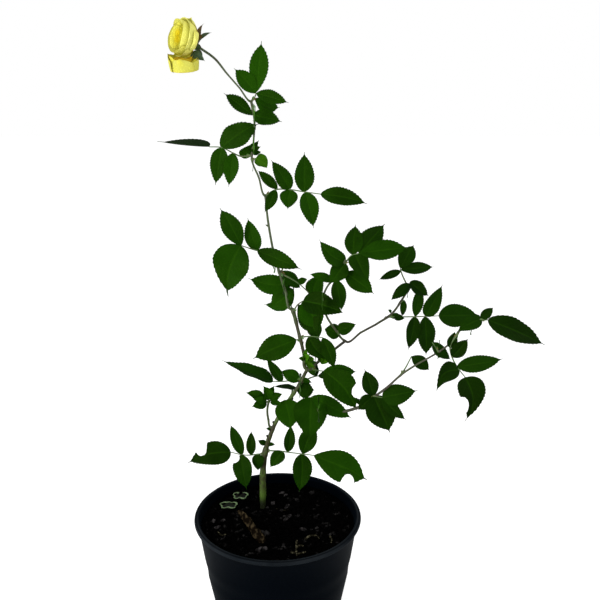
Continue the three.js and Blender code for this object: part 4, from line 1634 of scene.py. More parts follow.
@dataclass
class Foliage:
    """All leaves: stalks, stipules and leaflets, grown from the flat blades of the leaf nodes.

    Attributes:
        stems: The stems that carry them.
        maker: Makes the leaflets.
        stalk_radii: A stalk's radius at its foot and its end.
        foot_gap: Least distance between two feet that a stalk passes through.
        sag: How far a straight stalk sags, as a share of its length.
        pair_spacing: Distance from a pair of leaflets to the next, on a deep leaf, as a share of
            its stalk.
        pair_spread: Least and greatest angle between such a leaflet and the stalk, in degrees.
        pair_shrink: Share by which each pair is shorter than the leaflet or pair before it.
        deep_width: Such a leaflet's width as a share of its length.
        seed: Source of the leaves' chances.
    """

    stems: Stems
    maker: LeafletMaker = field(default_factory=LeafletMaker)
    stalk_radii: tuple[float, float] = (1.0, 0.55)
    foot_gap: float = 2.5
    sag: float = 0.05
    pair_spacing: float = 0.38
    pair_spread: tuple[float, float] = (26.0, 38.0)
    pair_shrink: float = 0.12
    deep_width: float = 0.56
    seed: int = 7
    leaflets: dict[Tone, list[Surface]] = field(default_factory=lambda: {tone: [] for tone in Tone})
    nodes_of: dict[Tone, list[str]] = field(default_factory=lambda: {tone: [] for tone in Tone})
    stalks: list[Surface] = field(default_factory=list)
    stipules: list[Surface] = field(default_factory=list)
    joints: dict[str, list[float]] = field(default_factory=dict)

    def form_of(self, spray: str, number: int, rng: np.random.Generator) -> Form:
        """A leaflet's form: how it has grown, chance within narrow limits, and what is its own.

        Args:
            spray: The leaf node's name without its "leaf_".
            number: The leaflet's place in the order of clocks.
            rng: Source of its chances.

        Returns:
            The form.
        """
        form = Form(
            arch=rng.uniform(0.02, 0.075),
            fold=rng.uniform(0.06, 0.22),
            twist=rng.uniform(-8, 8),
            wave=rng.uniform(0.02, 0.07),
        )
        if spray in GROWN:
            form = replace(form, **dict(zip(GROWN_FIELDS, GROWN[spray][number])))
        return replace(form, **OWN_FORMS.get((spray, number), {}))

    def grow(self) -> None:
        """Reads every leaf node and grows its leaf."""
        names = sorted(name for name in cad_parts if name.startswith("leaf_"))
        for number, name in enumerate(names):
            rng = np.random.default_rng(self.seed * 1000 + number)
            triangles = node_triangles(name)
            spray = name.removeprefix("leaf_")
            tone = SPRAY_TONES.get(spray, Tone.MIDDLE)
            self.nodes_of[tone].append(name)
            blades = read_blades(name)
            LOG.info("%s: %d leaflets, %s", name, len(blades), tone.value)
            limb, root, along = self.stems.host(distinct(triangles.reshape(-1, 3)))
            if spray in LOW_ROOTS:
                limb, share = LOW_ROOTS[spray]
                path = self.stems.paths[limb]
                along = share * path.length
                root = path.at(along)[0]
            self.joints.setdefault(limb, []).append(along)
            feet = []
            for place_in, blade in enumerate(blades):
                form = self.form_of(spray, place_in, rng)
                self.leaflets[tone].append(self.maker.surface(blade, form, rng))
                feet.append(blade.foot)
            self.grow_stalk(root, feet, rng)

    def grow_stalk(self, root: Array, feet: list[Array], rng: np.random.Generator) -> None:
        """A leaf's stalk from its limb through the feet of its leaflets, with two stipules.

        Args:
            root: Where it leaves its limb.
            feet: The leaflets' feet.
            rng: Source of its small chances.
        """
        feet = sorted(feet, key=lambda foot: float(np.linalg.norm(foot - root)))
        line = [root]
        for foot in feet:
            if np.linalg.norm(foot - line[-1]) > self.foot_gap:
                line.append(foot)
        if len(line) < 2:
            return
        if len(line) == 2:
            sag = np.linalg.norm(line[1] - line[0]) * self.sag
            line.insert(1, (line[0] + line[1]) / 2 - UP * sag)
        radii = np.linspace(*self.stalk_radii, len(line))
        path = Path(np.array(line), radii)
        self.stalks.append(tube(path, 8, 1.2, 0.03, len(self.stalks), (1.0,), 0.5))
        first = min(path.length * 0.4, 4.5)
        here, way = path.at(1.5)
        for side in (-1, 1):
            across = unit(np.cross(way, np.array([0.0, -1.0, 0.35]))) * side
            axis = unit(way + across * rng.uniform(0.35, 0.6))
            normal = unit(np.cross(across, way)) * side
            normal = normal if normal[1] < 0 else -normal
            normal = square_to(axis, normal)
            blade = Blade(here, axis, normal, first + rng.uniform(0, 1.2), 1.7)
            self.stipules.append(self.small_leaf(blade, rng))

    def small_leaf(self, blade: Blade, rng: np.random.Generator) -> Surface:
        """A small leaf of few faces, on the leaflet's grid.

        Args:
            blade: Where it lies.
            rng: Source of its form's chances.

        Returns:
            The surface.
        """
        form = Form(arch=rng.uniform(0.02, 0.14), fold=rng.uniform(0.15, 0.5), twist=rng.uniform(-25, 25),
                    sickle=rng.uniform(-0.06, 0.06))
        return SMALL_LEAF_MAKER.surface(blade, form, rng)

    def grow_sprouts(self) -> None:
        """The tufts of young leaves, each leaf on a short stalk of its own."""
        for number, sprout in enumerate(SPROUTS):
            rng = np.random.default_rng(self.seed * 77 + number)
            path = self.stems.paths[sprout.limb]
            here, _ = path.at(path.length * sprout.share)
            for clock, lean, length, width in sprout.leaves:
                axis = heading(clock + rng.uniform(-6, 6), lean + rng.uniform(-6, 6))
                foot = here + axis * rng.uniform(0.12, 0.26) * length
                up = np.array([rng.uniform(-0.3, 0.3), *OPEN_AIR[1:]])
                blade = Blade(foot, axis, square_to(axis, up), length, width)
                self.leaflets[sprout.tone].append(self.small_leaf(blade, rng))
                stalk = Path(np.array([here, (here + foot) / 2, foot]), np.array([0.8, 0.55, 0.4]))
                self.stalks.append(tube(stalk, 6, 0.8))

    def grow_deep_leaves(self) -> None:
        """The leaves that grow back and forward, their blades upright, every other one turned over.

        A pair's leaflets point up and down from the stalk, and the last leaflet goes on along it.
        """
        for number, leaf in enumerate(DEEP_LEAVES):
            rng = np.random.default_rng(self.seed * 131 + number)
            path = self.stems.paths[leaf.limb]
            here, _ = path.at(path.length * leaf.share)
            way = heading(leaf.clock, leaf.lean)
            rise = square_to(way, UP)
            side = np.cross(way, rise) * (-1) ** number
            shares = 1 - self.pair_spacing * np.arange(leaf.pairs + 1)
            sag = rng.uniform(1.0, 4.0)
            feet = [here + way * leaf.length * share - rise * sag * share ** 2 for share in shares]
            for pair, foot in enumerate(feet):
                for turn in (-1, 1) if pair else (0,):
                    angle = math.radians(turn * rng.uniform(*self.pair_spread) + rng.uniform(-5, 5))
                    axis = swung(way, rise, angle)
                    length, width = leaf.size * (1 - self.pair_shrink * pair), leaf.size * self.deep_width
                    blade = Blade(foot + axis * 1.5, axis, side, length, width)
                    form = Form(arch=rng.uniform(0.01, 0.05), fold=rng.uniform(0.04, 0.16),
                                twist=rng.uniform(-7, 7), wave=rng.uniform(0.02, 0.05))
                    self.leaflets[leaf.tone].append(self.maker.surface(blade, form, rng))
            self.grow_stalk(here, feet, rng)

    def build(self) -> None:
        """Makes the foliage pieces, one for each tone, and the stalks and stipules."""
        for tone, surfaces in self.leaflets.items():
            if surfaces:
                replaced = self.nodes_of[tone]
                add_piece(f"foliage_{tone.value}", surfaces, LEAF_FINISHES[tone], "foliage", *replaced)
        add_piece("leaf_stalks", self.stalks, STALK_RIND, "green_shoot")
        add_piece("stipules", self.stipules, STIPULE_FINISH, "foliage")


# ---- the bloom


@dataclass(frozen=True)
class Whorl:
    """One ring of petals, each a patch of a cup's wall.

    Attributes:
        count: Petals in it.
        radius: The cup's radius at the rim.
        height: The rim's height over the petals' foot.
        reach: Half the angle that a petal takes of the cup, in degrees.
        flare: How far the rim turns outwards.
        roll: How far the rolled rim falls back.
        tint: 0 for the heart to 1 for the outside.
        open_front: Share by which the rim is lower on the side that meets the open air.
        belly: Exponent of the wall: the lower, the flatter the cup's floor.
        lift: Exponent of the height: the higher, the later the wall rises.
        crumple: How deep its ruffles and creases are, 1 for a fresh petal; past 1.4 with painted shade in
            them.
    """

    count: int
    radius: float
    height: float
    reach: float
    flare: float
    roll: float
    tint: float
    open_front: float = 0.0
    belly: float = 0.9
    lift: float = 1.15
    crumple: float = 1.0


@dataclass
class Bloom:
    """The double yellow bloom, its drooping lower petals, hip and sepals.

    Attributes:
        whorls: The rings of petals from the heart outwards.
        lower: The lower petals' rings.
        lower_facing: The way the lower petals look, as clock and lean.
        grid: Rows and columns of a petal.
        core: The radius at a petal's foot.
        spin: How far round the axis each next whorl starts, in radians, for the cup and below.
        rise: How far along the axis each next whorl stands, for the cup and below.
        hip_axes: Half axes of the hip: across twice, and along.
        facing: The way the bloom looks, as clock and lean.
        seat: How far the petals' foot lies beside the stalk's line.
        throat: From the stalk's end to the petals' foot.
        sepals: Each as foot to the right, up and back, clock, lean, length, width, hook
            and how much of it has withered.
        seed: Source of the petals' chances.
    """

    whorls: tuple[Whorl, ...] = (
        Whorl(2, 1.8, 16.0, 120.0, 0.0, 0.0, 0.0),
        Whorl(2, 3.6, 17.5, 110.0, 0.2, 0.2, 0.02),
        Whorl(3, 5.8, 18.5, 80.0, 0.4, 0.4, 0.10),
        Whorl(3, 8.6, 19.5, 78.0, 0.9, 0.8, 0.40),
        Whorl(3, 12.6, 20.8, 74.0, 0.6, 1.4, 0.60),
        Whorl(4, 17.2, 22.4, 60.0, -0.8, 1.6, 0.78, 0.0, 0.66),
        Whorl(4, 18.8, 17.5, 58.0, 1.4, 3.0, 0.94, 0.0, 0.55),
        Whorl(4, 19.6, 13.0, 31.0, 1.6, 3.6, 1.0, 0.0, 0.55, 1.3, 2.6),
    )
    # The innermost lower ring, at tint 0, takes the lower finish's orange heart: painted shadow between the
    # cup and the bowl.
    lower: tuple[Whorl, ...] = (
        Whorl(4, 15.2, 19.0, 54.0, -0.4, 1.0, 0.90, 0.52, 0.20, 2.6, 2.8),
        Whorl(4, 13.4, 16.5, 56.0, 0.4, 0.6, 0.60, 0.45, 0.4, 1.9, 2.0),
        Whorl(3, 8.5, 12.5, 64.0, 0.4, 0.4, 0.0, 0.0, 0.6, 1.5, 2.0),
    )
    lower_facing: tuple[float, float] = (-2.0, 14.0)
    grid: tuple[int, int] = (20, 17)
    core: float = 1.2
    spin: tuple[float, float] = (1.62, 1.3)
    rise: tuple[float, float] = (-0.5, 0.4)
    hip_axes: tuple[float, float, float] = (3.4, 3.4, 5.8)
    facing: tuple[float, float] = (-76.0, 34.0)
    seat: tuple[float, float, float] = (-1.4, 0.0, 5.0)
    throat: float = 8.0
    sepals: tuple[tuple[float, ...], ...] = (
        (-4.0, -7.5, -5.0, 116.0, 12.0, 16.0, 9.5, -0.04, 0.0),
        (1.6, 4.2, 8.0, 2.0, -12.0, 20.5, 5.6, -0.25, 0.9),
        (4.5, 7.8, 2.0, 62.0, -6.0, 12.5, 4.8, 0.0, 0.5),
        (0.0, -2.0, 8.0, 160.0, -30.0, 12.0, 6.0, 0.1, 0.3),
        (0.0, 3.0, 9.0, -30.0, -40.0, 14.0, 5.0, 0.1, 0.4),
    )
    seed: int = 5

    def petal(self, base: Array, axis: Array, out: Array, whorl: Whorl, rng: np.random.Generator) -> Surface:
        """One petal, a patch of a cup round the axis, with rows along it and columns across it.

        With s the way from foot to rim, the wall's radius is R sin(pi/2 s^belly) plus a flare in
        its last part, and its height H s^lift less the rolled rim's fall. Across, the angle round
        the axis runs over the reach, the rim drops to both sides and rises to a small point, one
        edge lies further in than the other, and the rim ruffles.

        Args:
            base: The cup's foot.
            axis: The cup's axis.
            out: The way to the petal's middle.
            whorl: The ring that it belongs to.
            rng: Source of its small chances.

        Returns:
            The surface, with uv (across, along).
        """
        rows, columns = self.grid
        v = np.linspace(0.03, 1.0, rows)[:, None]
        u = np.linspace(-1.0, 1.0, columns)[None, :]
        phase = rng.uniform(0, FULL_TURN, 4)
        rim = 1 - 0.16 * np.abs(u) ** 2.6 + 0.03 * np.exp(-((u - 0.15 * np.sin(phase[3])) / 0.16) ** 2)
        s = v * rim * rng.uniform(0.94, 1.04)
        late = np.clip((s - 0.70) / 0.30, 0, 1.2)
        wall = np.sin(math.pi / 2 * np.clip(s, 0, 1) ** whorl.belly)
        radius = self.core + (whorl.radius - self.core) * wall
        radius = radius + whorl.flare * late**2 * rng.uniform(0.7, 1.3)
        radius = radius * (1 + 0.05 * u)
        lowered = whorl.open_front * max(0.0, float(out @ unit(OPEN_AIR + FRONT_RIGHT)))
        rim_height = whorl.height * (1 - lowered)
        height = rim_height * s**whorl.lift - whorl.roll * np.clip((s - 0.82) / 0.18, 0, 1.3) ** 2
        ruffle = s**3 * (0.30 * np.sin(4.2 * u + phase[0]) + 0.12 * np.sin(8.0 * u + phase[1]))
        crease = 0.25 * np.sin(6.0 * s + 2.0 * u + phase[2]) * s
        radius = radius + (ruffle + crease) * min(1.0, whorl.radius / 8.0) * whorl.crumple
        angle = math.radians(whorl.reach) * u * (1 - 0.22 * late**2)
        sideways = np.cross(axis, out)
        points = (
            base
            + height[..., None] * axis
            + (radius * np.cos(angle))[..., None] * out
            + (radius * np.sin(angle))[..., None] * sideways
        )
        # Painted shade: on a whorl crumpled past 1.4, the tint drops along the ruffles and creases, so the
        # folds take deeper colours.
        painted_crease_shade = 0.5 * np.abs(ruffle + crease) * (whorl.crumple > 1.4)
        tint = np.clip(whorl.tint + 0.22 * (s - 0.7) - painted_crease_shade, 0, 1).ravel()
        return patch(points, u / 2 + 0.5, v, tint)

    def cup(self, foot: Array, axis: Array, whorls: tuple[Whorl, ...], rise: float, start: float,
            rng: np.random.Generator) -> list[Surface]:
        """The petals of several whorls, each whorl's evenly dealt round the axis.

        Args:
            foot: The first whorl's foot.
            axis: The cup's axis.
            whorls: The whorls.
            rise: How far along the axis each next whorl stands.
            start: How far round the axis each next whorl starts.
            rng: Source of the petals' chances.

        Returns:
            The petals.
        """
        aside, raised = sides_of(axis, UP + 0.2 * BACK)
        petals = []
        for number, whorl in enumerate(whorls):
            for k in range(whorl.count):
                turn = FULL_TURN * k / whorl.count + start * number + rng.uniform(-0.12, 0.12)
                base = foot + axis * rise * number
                petals.append(self.petal(base, axis, swung(aside, raised, turn), whorl, rng))
        return petals

    def build(self, stalk: Path) -> None:
        """Makes the petals, hip and sepals.

        Args:
            stalk: The flower stalk, which ends in the hip.
        """
        axis = heading(*self.facing)
        rng = np.random.default_rng(self.seed)
        end, _ = stalk.at(stalk.length)
        foot = end + axis * self.throat + np.array(self.seat)
        petals = self.cup(foot, axis, self.whorls, self.rise[0], self.spin[0], rng)
        add_piece("petals", petals, PetalFinish(), "petals", "bloom")
        self.build_lower_petals(rng)
        self.build_hip(end, axis)

    def build_lower_petals(self, rng: np.random.Generator) -> None:
        """The broad lower petals, which hang below the cup like a shallow bowl.

        Args:
            rng: Source of the petals' chances.
        """
        low, high = (np.array(corner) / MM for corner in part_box("bloom_lower_petals"))
        foot = np.array([(low[0] + high[0]) / 2 + 1.2, (low[1] + high[1]) / 2, low[2] + 2.6])
        axis = heading(*self.lower_facing)
        petals = self.cup(foot, axis, self.lower, self.rise[1], self.spin[1], rng)
        add_piece("petals_lower", petals, LOWER_PETAL_PAINTED_SHADE, "petals", "bloom_lower_petals")

    def build_hip(self, end: Array, axis: Array) -> None:
        """The hip at the stalk's end and the sepals that spread from it.

        Args:
            end: The stalk's end.
            axis: The way the bloom looks.
        """
        aside, raised = sides_of(axis, UP)
        axes = np.stack([aside, raised, axis]) * np.array(self.hip_axes)[:, None]
        hip = toned(ball(end + axis * 4.0, axes, 14, 20, 0.05, 3), 0.2)
        add_piece("hip", [hip], HIP_FINISH, "hip", "flower_hip")
        collar = end + axis * 4.5
        sepals = []
        for number, (right, up, back, clock, lean, length, width, hook, dry) in enumerate(self.sepals):
            rng = np.random.default_rng(number)
            way = heading(clock, lean)
            foot = collar + np.array([right, back, up])
            form = Form(arch=0.08, fold=0.35, twist=rng.uniform(-25, 25), hook=hook, shoulder=0.6)
            blade = Blade(foot, way, square_to(way, OPEN_AIR), length, width)
            sepals.append(toned(SEPAL_MAKER.surface(blade, form, rng), dry))
            if back > 0:
                claw = np.array([collar - axis * 1.5, (collar + foot) / 2, foot + way * 0.14 * length])
                sepals.append(toned(tube(Path(claw, np.array([1.5, 1.0, 0.8])), 10, 0.8), dry))
        add_piece("sepals", sepals, SEPAL_FINISH, "hip")


# ---- pot and soil


@dataclass
class Pot:
    """The nursery pot: tapered wall, stepped band, rolled lip and a floor with drain holes.

    Attributes:
        wall: Thickness of the wall.
        lip: How far the lip stands out from the wall.
        lip_height: Height of the lip.
        band: Height of the plain band under the lip, as a share of the pot's height.
        step: How far the wall steps in under the band.
        sides: Points round a ring.
        drains: Number of drain holes.
        drain_radius: Their radius.
        drain_circle: Radius of the circle that they lie on.
    """

    wall: float = 1.7
    lip: float = 4.4
    lip_height: float = 4.6
    band: float = 0.275
    step: float = 3.6
    sides: int = 144
    drains: int = 6
    drain_radius: float = 7.0
    drain_circle: float = 44.0

    def radii(self) -> tuple[float, float, float]:
        """The pot's sizes, read from the frame.

        Returns:
            Its height, the radius of its lip and the radius of its foot.
        """
        reach, height = reach_and_height("pot")
        foot = reach[height < 1.0].max()
        return float(height.max()), float(reach.max()), float(foot)

    def outline(self) -> Array:
        """The wall's profile.

        Returns:
            Its (radius, height) points from the middle of the underside out, up, over the lip and
            back in.
        """
        height, lip_radius, foot = self.radii()
        top = lip_radius - self.lip
        under = height * (1 - self.band)
        band_foot = top - 5.6
        rounds = np.linspace(-0.5, 0.5, 9) * math.pi
        bead = self.lip_height / 2
        roll = [(lip_radius - 1.5 + 1.5 * math.cos(a), height - bead + bead * math.sin(a)) for a in rounds]
        corner = [(foot - 3 + 3 * math.sin(a), 3 - 3 * math.cos(a)) for a in np.linspace(0, 1.4, 6)]
        shoulder = band_foot - self.step
        outside = corner + [
            (foot + 0.02 * (shoulder - foot) + 1.6, 6.0),
            (foot + 0.5 * (shoulder - foot) + 0.8, under * 0.5),
            (shoulder - 0.6, under - 18.0),
            (shoulder - 0.2, under - 12.0),
            (shoulder + 0.10 * self.step, under - 7.0),
            (shoulder + 0.32 * self.step, under - 2.5),
            (shoulder + 0.60 * self.step, under + 2.0),
            (shoulder + 0.84 * self.step, under + 6.5),
            (band_foot + 0.1, under + 11.0),
            (top - 0.1, height - self.lip_height - 1.5),
            (top + 0.8, height - self.lip_height - 0.3),
        ]
        thick = self.wall
        inside = [
            (top - thick + 1.0, height - 0.1),
            (top - thick, height - 1.2),
            (top - thick - 0.2, height - self.lip_height),
            (band_foot - thick, under + 4.0),
            (shoulder - thick, under - 2.0),
            (foot + 0.4 * (shoulder - foot) - thick, under * 0.4),
            (foot - thick - 1.0, thick + 3.0),
            (foot - thick - 4.0, thick + 0.8),
        ]
        return np.array([(0.0, 0.0)] + outside + roll + inside + [(0.0, thick + 0.8)])

    def build(self) -> None:
        """Makes the pot and cuts its drain holes."""
        piece = make_piece("nursery_pot", [turned(self.outline(), self.sides)])
        angles = np.arange(self.drains) * FULL_TURN / self.drains
        plug = np.array([(0, -4), (self.drain_radius, -4), (self.drain_radius, 9), (0, 9)])
        plugs = [turned(plug, 24) for _ in angles]
        for plug, angle in zip(plugs, angles):
            plug.points += self.drain_circle * np.array([math.cos(angle), math.sin(angle), 0.0])
        cutter = make_piece("drain_cutter", plugs)
        cut = piece.modifiers.new("drains", "BOOLEAN")
        cut.operation, cut.object, cut.solver = "DIFFERENCE", cutter, "EXACT"
        finished = bpy.data.meshes.new_from_object(piece.evaluated_get(bpy.context.evaluated_depsgraph_get()))
        piece.modifiers.clear()
        piece.data = finished
        piece.data.materials.clear()
        _, brim, _ = self.radii()
        bore = brim - self.lip - self.wall + 0.6
        piece.data.materials.append(PotFinish(bore=bore, brim=brim).material("nursery_pot"))
        bpy.data.objects.remove(cutter)
        place(piece, "pot", "pot")


@dataclass
class Soil:
    """The compost and what lies on it: crumbs, a bark stick, chips, root ends and old leaf bits.

    Attributes:
        crumbs: How many loose crumbs lie on top.
        clod: Size of the clods, and the height that they reach.
        crumb: Size of the crumbs in the surface, and the height that they reach.
        sides: Points round the bed.
        floor: Height of the underside.
        seed: Source of the crumbs' places.
    """

    crumbs: int = 2100
    clod: tuple[float, float] = (14.0, 1.5)
    crumb: tuple[float, float] = (3.4, 1.3)
    sides: int = 300
    floor: float = 3.2
    seed: int = 11

    def __post_init__(self) -> None:
        """Reads the bed's height and reach from the frame."""
        reach, height = reach_and_height("soil")
        self.bed = float(height[reach < 1.0].max())
        self.edge = float(height.max())
        self.edge_radius = float(reach[height > self.edge - 0.5].max())

    def height(self, x: Array, y: Array) -> Array:
        """The surface's height: level in the middle, rising to the wall, with clods and crumbs.

        Clods and crumbs are noise, and the crumbs' is raised to a power so that they stand out.

        Args:
            x: Places across.
            y: Places along the other way.

        Returns:
            Heights.
        """
        reach = np.hypot(x, y) / self.edge_radius
        base = self.bed + (self.edge - self.bed) * np.clip((reach - 0.6) / 0.4, 0, 1) ** 1.5
        flat = stacked(x, y, 0.0)
        clods = rough_noise(flat / self.clod[0], 3, 3)
        fine = rough_noise(flat / self.crumb[0], 3, 9)
        calm = np.clip((1.0 - reach) / 0.06, 0.25, 1)
        return base + calm * (self.clod[1] * clods + self.crumb[1] * np.sign(fine) * np.abs(fine) ** 1.6)

    def level(self, x: float, y: float) -> float:
        """The surface's height at one place."""
        return float(self.height(np.array(float(x)), np.array(float(y))))

    def build(self) -> None:
        """Makes the soil and everything on it."""
        self.build_bed()
        self.build_crumbs()
        self.build_bark()
        self.build_roots()
        self.build_leaf_bits()

    def build_bed(self) -> None:
        """The soil's body: a crumbly top, a side along the wall and a flat underside."""
        top = np.linspace(0.6, self.edge_radius, 110)
        radii = np.concatenate([top, [self.edge_radius - 0.4, 60.4, 59.0]])
        angle = circle(self.sides)
        x, y = radii[:, None] * np.cos(angle), radii[:, None] * np.sin(angle)
        z = self.height(x, y)
        z[-3], z[-2], z[-1] = self.edge - 6.0, 5.0, self.floor
        rings = stacked(x, y, z)[::-1]
        points = np.concatenate([rings.reshape(-1, 3), [[0, 0, self.floor], [0, 0, float(z[0].mean())]]])
        bed = round_body(points, len(radii), self.sides, points[:, :2] / 200.0 + 0.5, points[:, 2])
        add_piece("soil_bed", [bed], SOIL_FINISH, "soil", "soil")

    def build_crumbs(self) -> None:
        """Loose crumbs strewn over the bed, most of them small."""
        rng = np.random.default_rng(self.seed)
        made = []
        for k in range(self.crumbs):
            reach = (self.edge_radius - 4.0) * math.sqrt(rng.uniform())
            turn = rng.uniform(0, FULL_TURN)
            x, y = reach * math.cos(turn), reach * math.sin(turn)
            size = 0.5 + 2.1 * rng.uniform() ** 3
            axes = rng.normal(size=(3, 3)) * 0.35 + np.eye(3)
            axes = axes * np.array([size, size * rng.uniform(0.5, 1), size * rng.uniform(0.5, 1)])
            z = self.level(x, y) + size * 0.25
            made.append(ball(np.array([x, y, z]), axes, 3, 6, 0.3, k % 50))
        add_piece("soil_crumbs", made, CRUMB_FINISH, "soil")

    def lying(self, ends: tuple[tuple[float, float], ...], radius: float, raised: float) -> Path:
        """A path that lies on the bed.

        Args:
            ends: Its points in plan.
            radius: Its radius.
            raised: How far it lies above the bed.

        Returns:
            The path.
        """
        plan = np.array(ends, float)
        z = self.height(plan[:, 0], plan[:, 1])
        level = np.full(len(plan), z.mean()) * 0.6 + z * 0.4 + raised
        return Path(np.column_stack([plan, level]), np.full(len(plan), radius))

    def build_bark(self) -> None:
        """A brown bark stick left of the trunk and grey chips near the front."""
        stick = self.lying(((-48, 26), (-38, 8), (-31, -8), (-24, -22), (-17, -36)), 3.6, 1.6)
        stick.radii = np.array([3.0, 4.8, 4.6, 5.8, 4.6])
        add_piece("bark_stick", [tube(stick, 22, 0.8, 0.9, 5)], STICK_FINISH, "soil")
        chips = []
        spots = ((-17, -53, 7.0, 3.6, 8), (-8, 44, 3.5, 2.0, 70), (3, 70, 4, 1.8, 5), (9, 10, 3.5, 2.0, 40),
                 (14, 19, 3, 1.8, -20), (-78, 1, 3.5, 2.0, 60), (-67, 5, 3, 1.6, 5), (30, -10, 5, 1.8, -35),
                 (8, 66, 3, 1.6, 30), (10, 38, 4, 1.6, 50), (3, 30, 3, 1.5, -40), (-72, -12, 4, 1.5, 20))
        for k, (x, y, long, wide, turn) in enumerate(spots):
            t = math.radians(turn)
            z = self.level(x, y) + 1.2
            axes = np.array([[math.cos(t) * long, math.sin(t) * long, 0.8],
                             [-math.sin(t) * wide, math.cos(t) * wide, 0.5], [0.1, 0.2, 1.4]])
            chips.append(ball(np.array([x, y, z]), axes, 9, 16, 0.35, 40 + k))
        add_piece("bark_chips", chips, CHIP_FINISH, "soil")

    def build_roots(self) -> None:
        """Pale ends of roots near the front right, with a few fine ones elsewhere."""
        lines = (
            ((23, -36), (22, -46), (22, -56), (23, -65)), ((16, -59), (24, -61), (33, -59)),
            ((23, -47), (28, -44), (31, -46)), ((32, -33), (38, -25), (46, -25), (49, -33)),
            ((61, -28), (63, -36), (62, -43)), ((-4, 34), (4, 30), (12, 34)),
            ((-70, -20), (-64, -26), (-60, -24)),
        )
        roots = []
        for k, line in enumerate(lines):
            path = self.lying(line, 1.0, 1.2)
            path.radii = np.linspace(1.5, 0.6, len(line)) * (1.0 if k < 4 else 0.6)
            roots.append(tube(path, 8, 0.8, 0.3, 60 + k))
        add_piece("root_ends", roots, ROOT_FINISH, "soil")

    def build_leaf_bits(self) -> None:
        """Two withered leaf pieces behind the bark stick, each a dark disc in a pale curled rim."""
        discs, rims = [], []
        for x, y, long, wide in ((-63, 37, 9.6, 7.5), (-50, 60, 8.4, 8.0)):
            around = np.linspace(0, FULL_TURN, 41)
            edge = 1 + 0.10 * np.sin(5 * around + x) + 0.05 * np.sin(9 * around)
            plan = np.stack([x + long * edge * np.cos(around), y + wide * edge * np.sin(around)], axis=1)
            level = self.level(x, y) + 2.2
            line = np.column_stack([plan, level + 0.9 * np.sin(3 * around)])
            rim = tube(Path(line, 0.7 + 0.3 * np.sin(4 * around)), 8, 0.9, 0.35, int(long))
            rims.append(toned(rim, 0.0))
            axes = np.diag([long * 0.90, wide * 0.90, 0.6])
            discs.append(toned(ball(np.array([x, y, level - 1.2]), axes, 9, 30, 0.08, int(long)), 0.3))
        add_piece("fallen_leaf_bits", discs, LEAF_BIT_FINISH, "soil")
        add_piece("fallen_leaf_rims", rims, LEAF_RIM_FINISH, "soil")


# ---- stage


class FloorFinish(Finish):
    """Matt white that glows a little, and looks dark in reflections."""

    def inputs(self, nodes: Nodes) -> dict:
        """White, or dark grey for the rays that mirror it.

        Args:
            nodes: The material's nodes.

        Returns:
            The shader's inputs.
        """
        mirrored = nodes.add("LightPath").outputs["Is Glossy Ray"]
        return {
            "Base Color": nodes.mix(mirrored, (0.93, 0.93, 0.93), (0.10, 0.10, 0.10)),
            "Roughness": 0.9,
            "Specular IOR Level": 0.0,
            "Emission Color": (1.0, 1.0, 1.0),
            "Emission Strength": 0.18,
        }


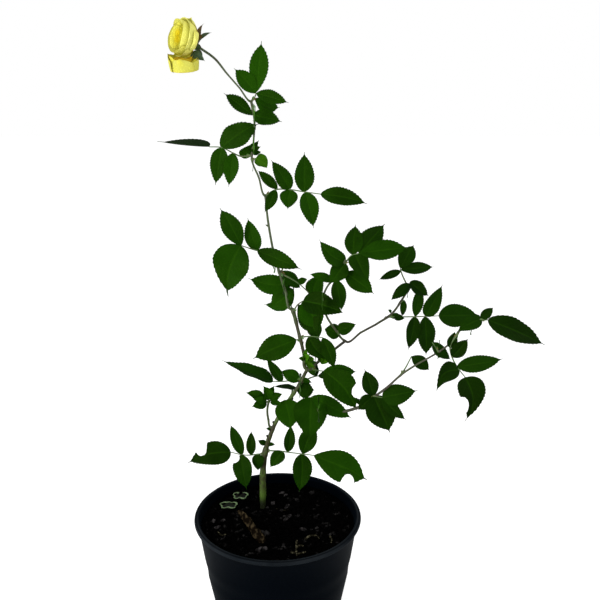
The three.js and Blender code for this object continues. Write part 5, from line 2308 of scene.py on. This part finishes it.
@dataclass
class Studio:
    """A pale floor, soft white light all round and the camera.

    Attributes:
        eye: Where the camera stands, in metres.
        pitch: How far it looks down, in degrees.
        lens: Its focal length on a 36 mm sensor.
        gloss_room: How bright the surroundings are in reflections.
        floor_half: Half the floor's width, in millimetres.
    """

    eye: tuple[float, float, float] = (0.0264, -0.748, 0.650)
    pitch: float = 14.3
    lens: float = 42.0
    gloss_room: float = 0.3
    floor_half: float = 30000.0

    def build(self) -> None:
        """Makes the floor, the lights and the camera."""
        self.build_floor()
        self.build_lights()
        self.build_camera()

    def build_floor(self) -> None:
        """A wide pale floor at the pot's foot."""
        corners = np.array([[-1, -1, 0], [1, -1, 0], [1, 1, 0], [-1, 1, 0]]) * self.floor_half
        square = Surface(corners, np.array([[0, 1, 2, 3]]), NO_TRIANGLES, corners[:, :2], np.zeros(4))
        make_piece("floor", [square], FloorFinish().material("floor"))

    def build_lights(self) -> None:
        """White surroundings, a large key light from the upper left and a strip from the left."""
        scene = bpy.context.scene
        scene.view_settings.view_transform = "Standard"
        world = bpy.data.worlds.new("studio")
        world.use_nodes = True
        background = world.node_tree.nodes["Background"]
        nodes = Nodes(world.node_tree)
        mirrored = nodes.add("LightPath").outputs["Is Glossy Ray"]
        strength = nodes.math("MULTIPLY_ADD", mirrored, self.gloss_room - 1.0, 1.0)
        nodes.feed(background, {"Color": (1.0, 1.0, 1.0), "Strength": strength})
        scene.world = world
        lights = (
            ("key", (-1.1, -1.3, 1.9), (0.0, 0.0, 0.40), (1.2, 1.2), 12.0),
            ("side", (-1.9, -0.8, 0.5), (0.0, 0.0, 0.15), (1.7, 1.1), 16.0),
            ("strip", (-1.05, -1.55, 0.45), (0.0, 0.0, 0.15), (0.35, 1.1), 16.0),
            ("fill", (1.5, -0.6, 1.1), (0.05, 0.0, 0.35), (1.0, 1.0), 6.0),
        )
        for name, spot, target, size, power in lights:
            lamp = bpy.data.lights.new(name, "AREA")
            lamp.shape, lamp.size, lamp.size_y = "RECTANGLE", *size
            lamp.energy = power
            holder = bpy.data.objects.new(name, lamp)
            scene.collection.objects.link(holder)
            way = unit(np.array(target) - np.array(spot))
            tilt, yaw = math.acos(float(-way[2])), math.atan2(-way[0], way[1])
            holder.location, holder.rotation_euler = spot, (tilt, 0.0, yaw)

    def build_camera(self) -> None:
        """The camera, looking along +Y and a little down."""
        camera = bpy.data.cameras.new("camera")
        camera.sensor_width, camera.lens = 36.0, self.lens
        camera.clip_start, camera.clip_end = 0.01, 100.0
        holder = bpy.data.objects.new("camera", camera)
        holder.location = self.eye
        holder.rotation_euler = (math.radians(90.0 - self.pitch), 0.0, 0.0)
        bpy.context.scene.collection.objects.link(holder)
        bpy.context.scene.camera = holder


# ---- everything


def main() -> None:
    """Builds the bush piece by piece."""
    logging.basicConfig(level=logging.INFO, format="%(message)s")
    Studio().build()
    stems = Stems()
    stems.trace()
    foliage = Foliage(stems)
    foliage.grow()
    foliage.grow_sprouts()
    foliage.grow_deep_leaves()
    stems.build(foliage.joints)
    foliage.build()
    Bloom().build(stems.paths["flower_stalk"])
    Pot().build()
    Soil().build()


if __name__ == "__main__":
    main()
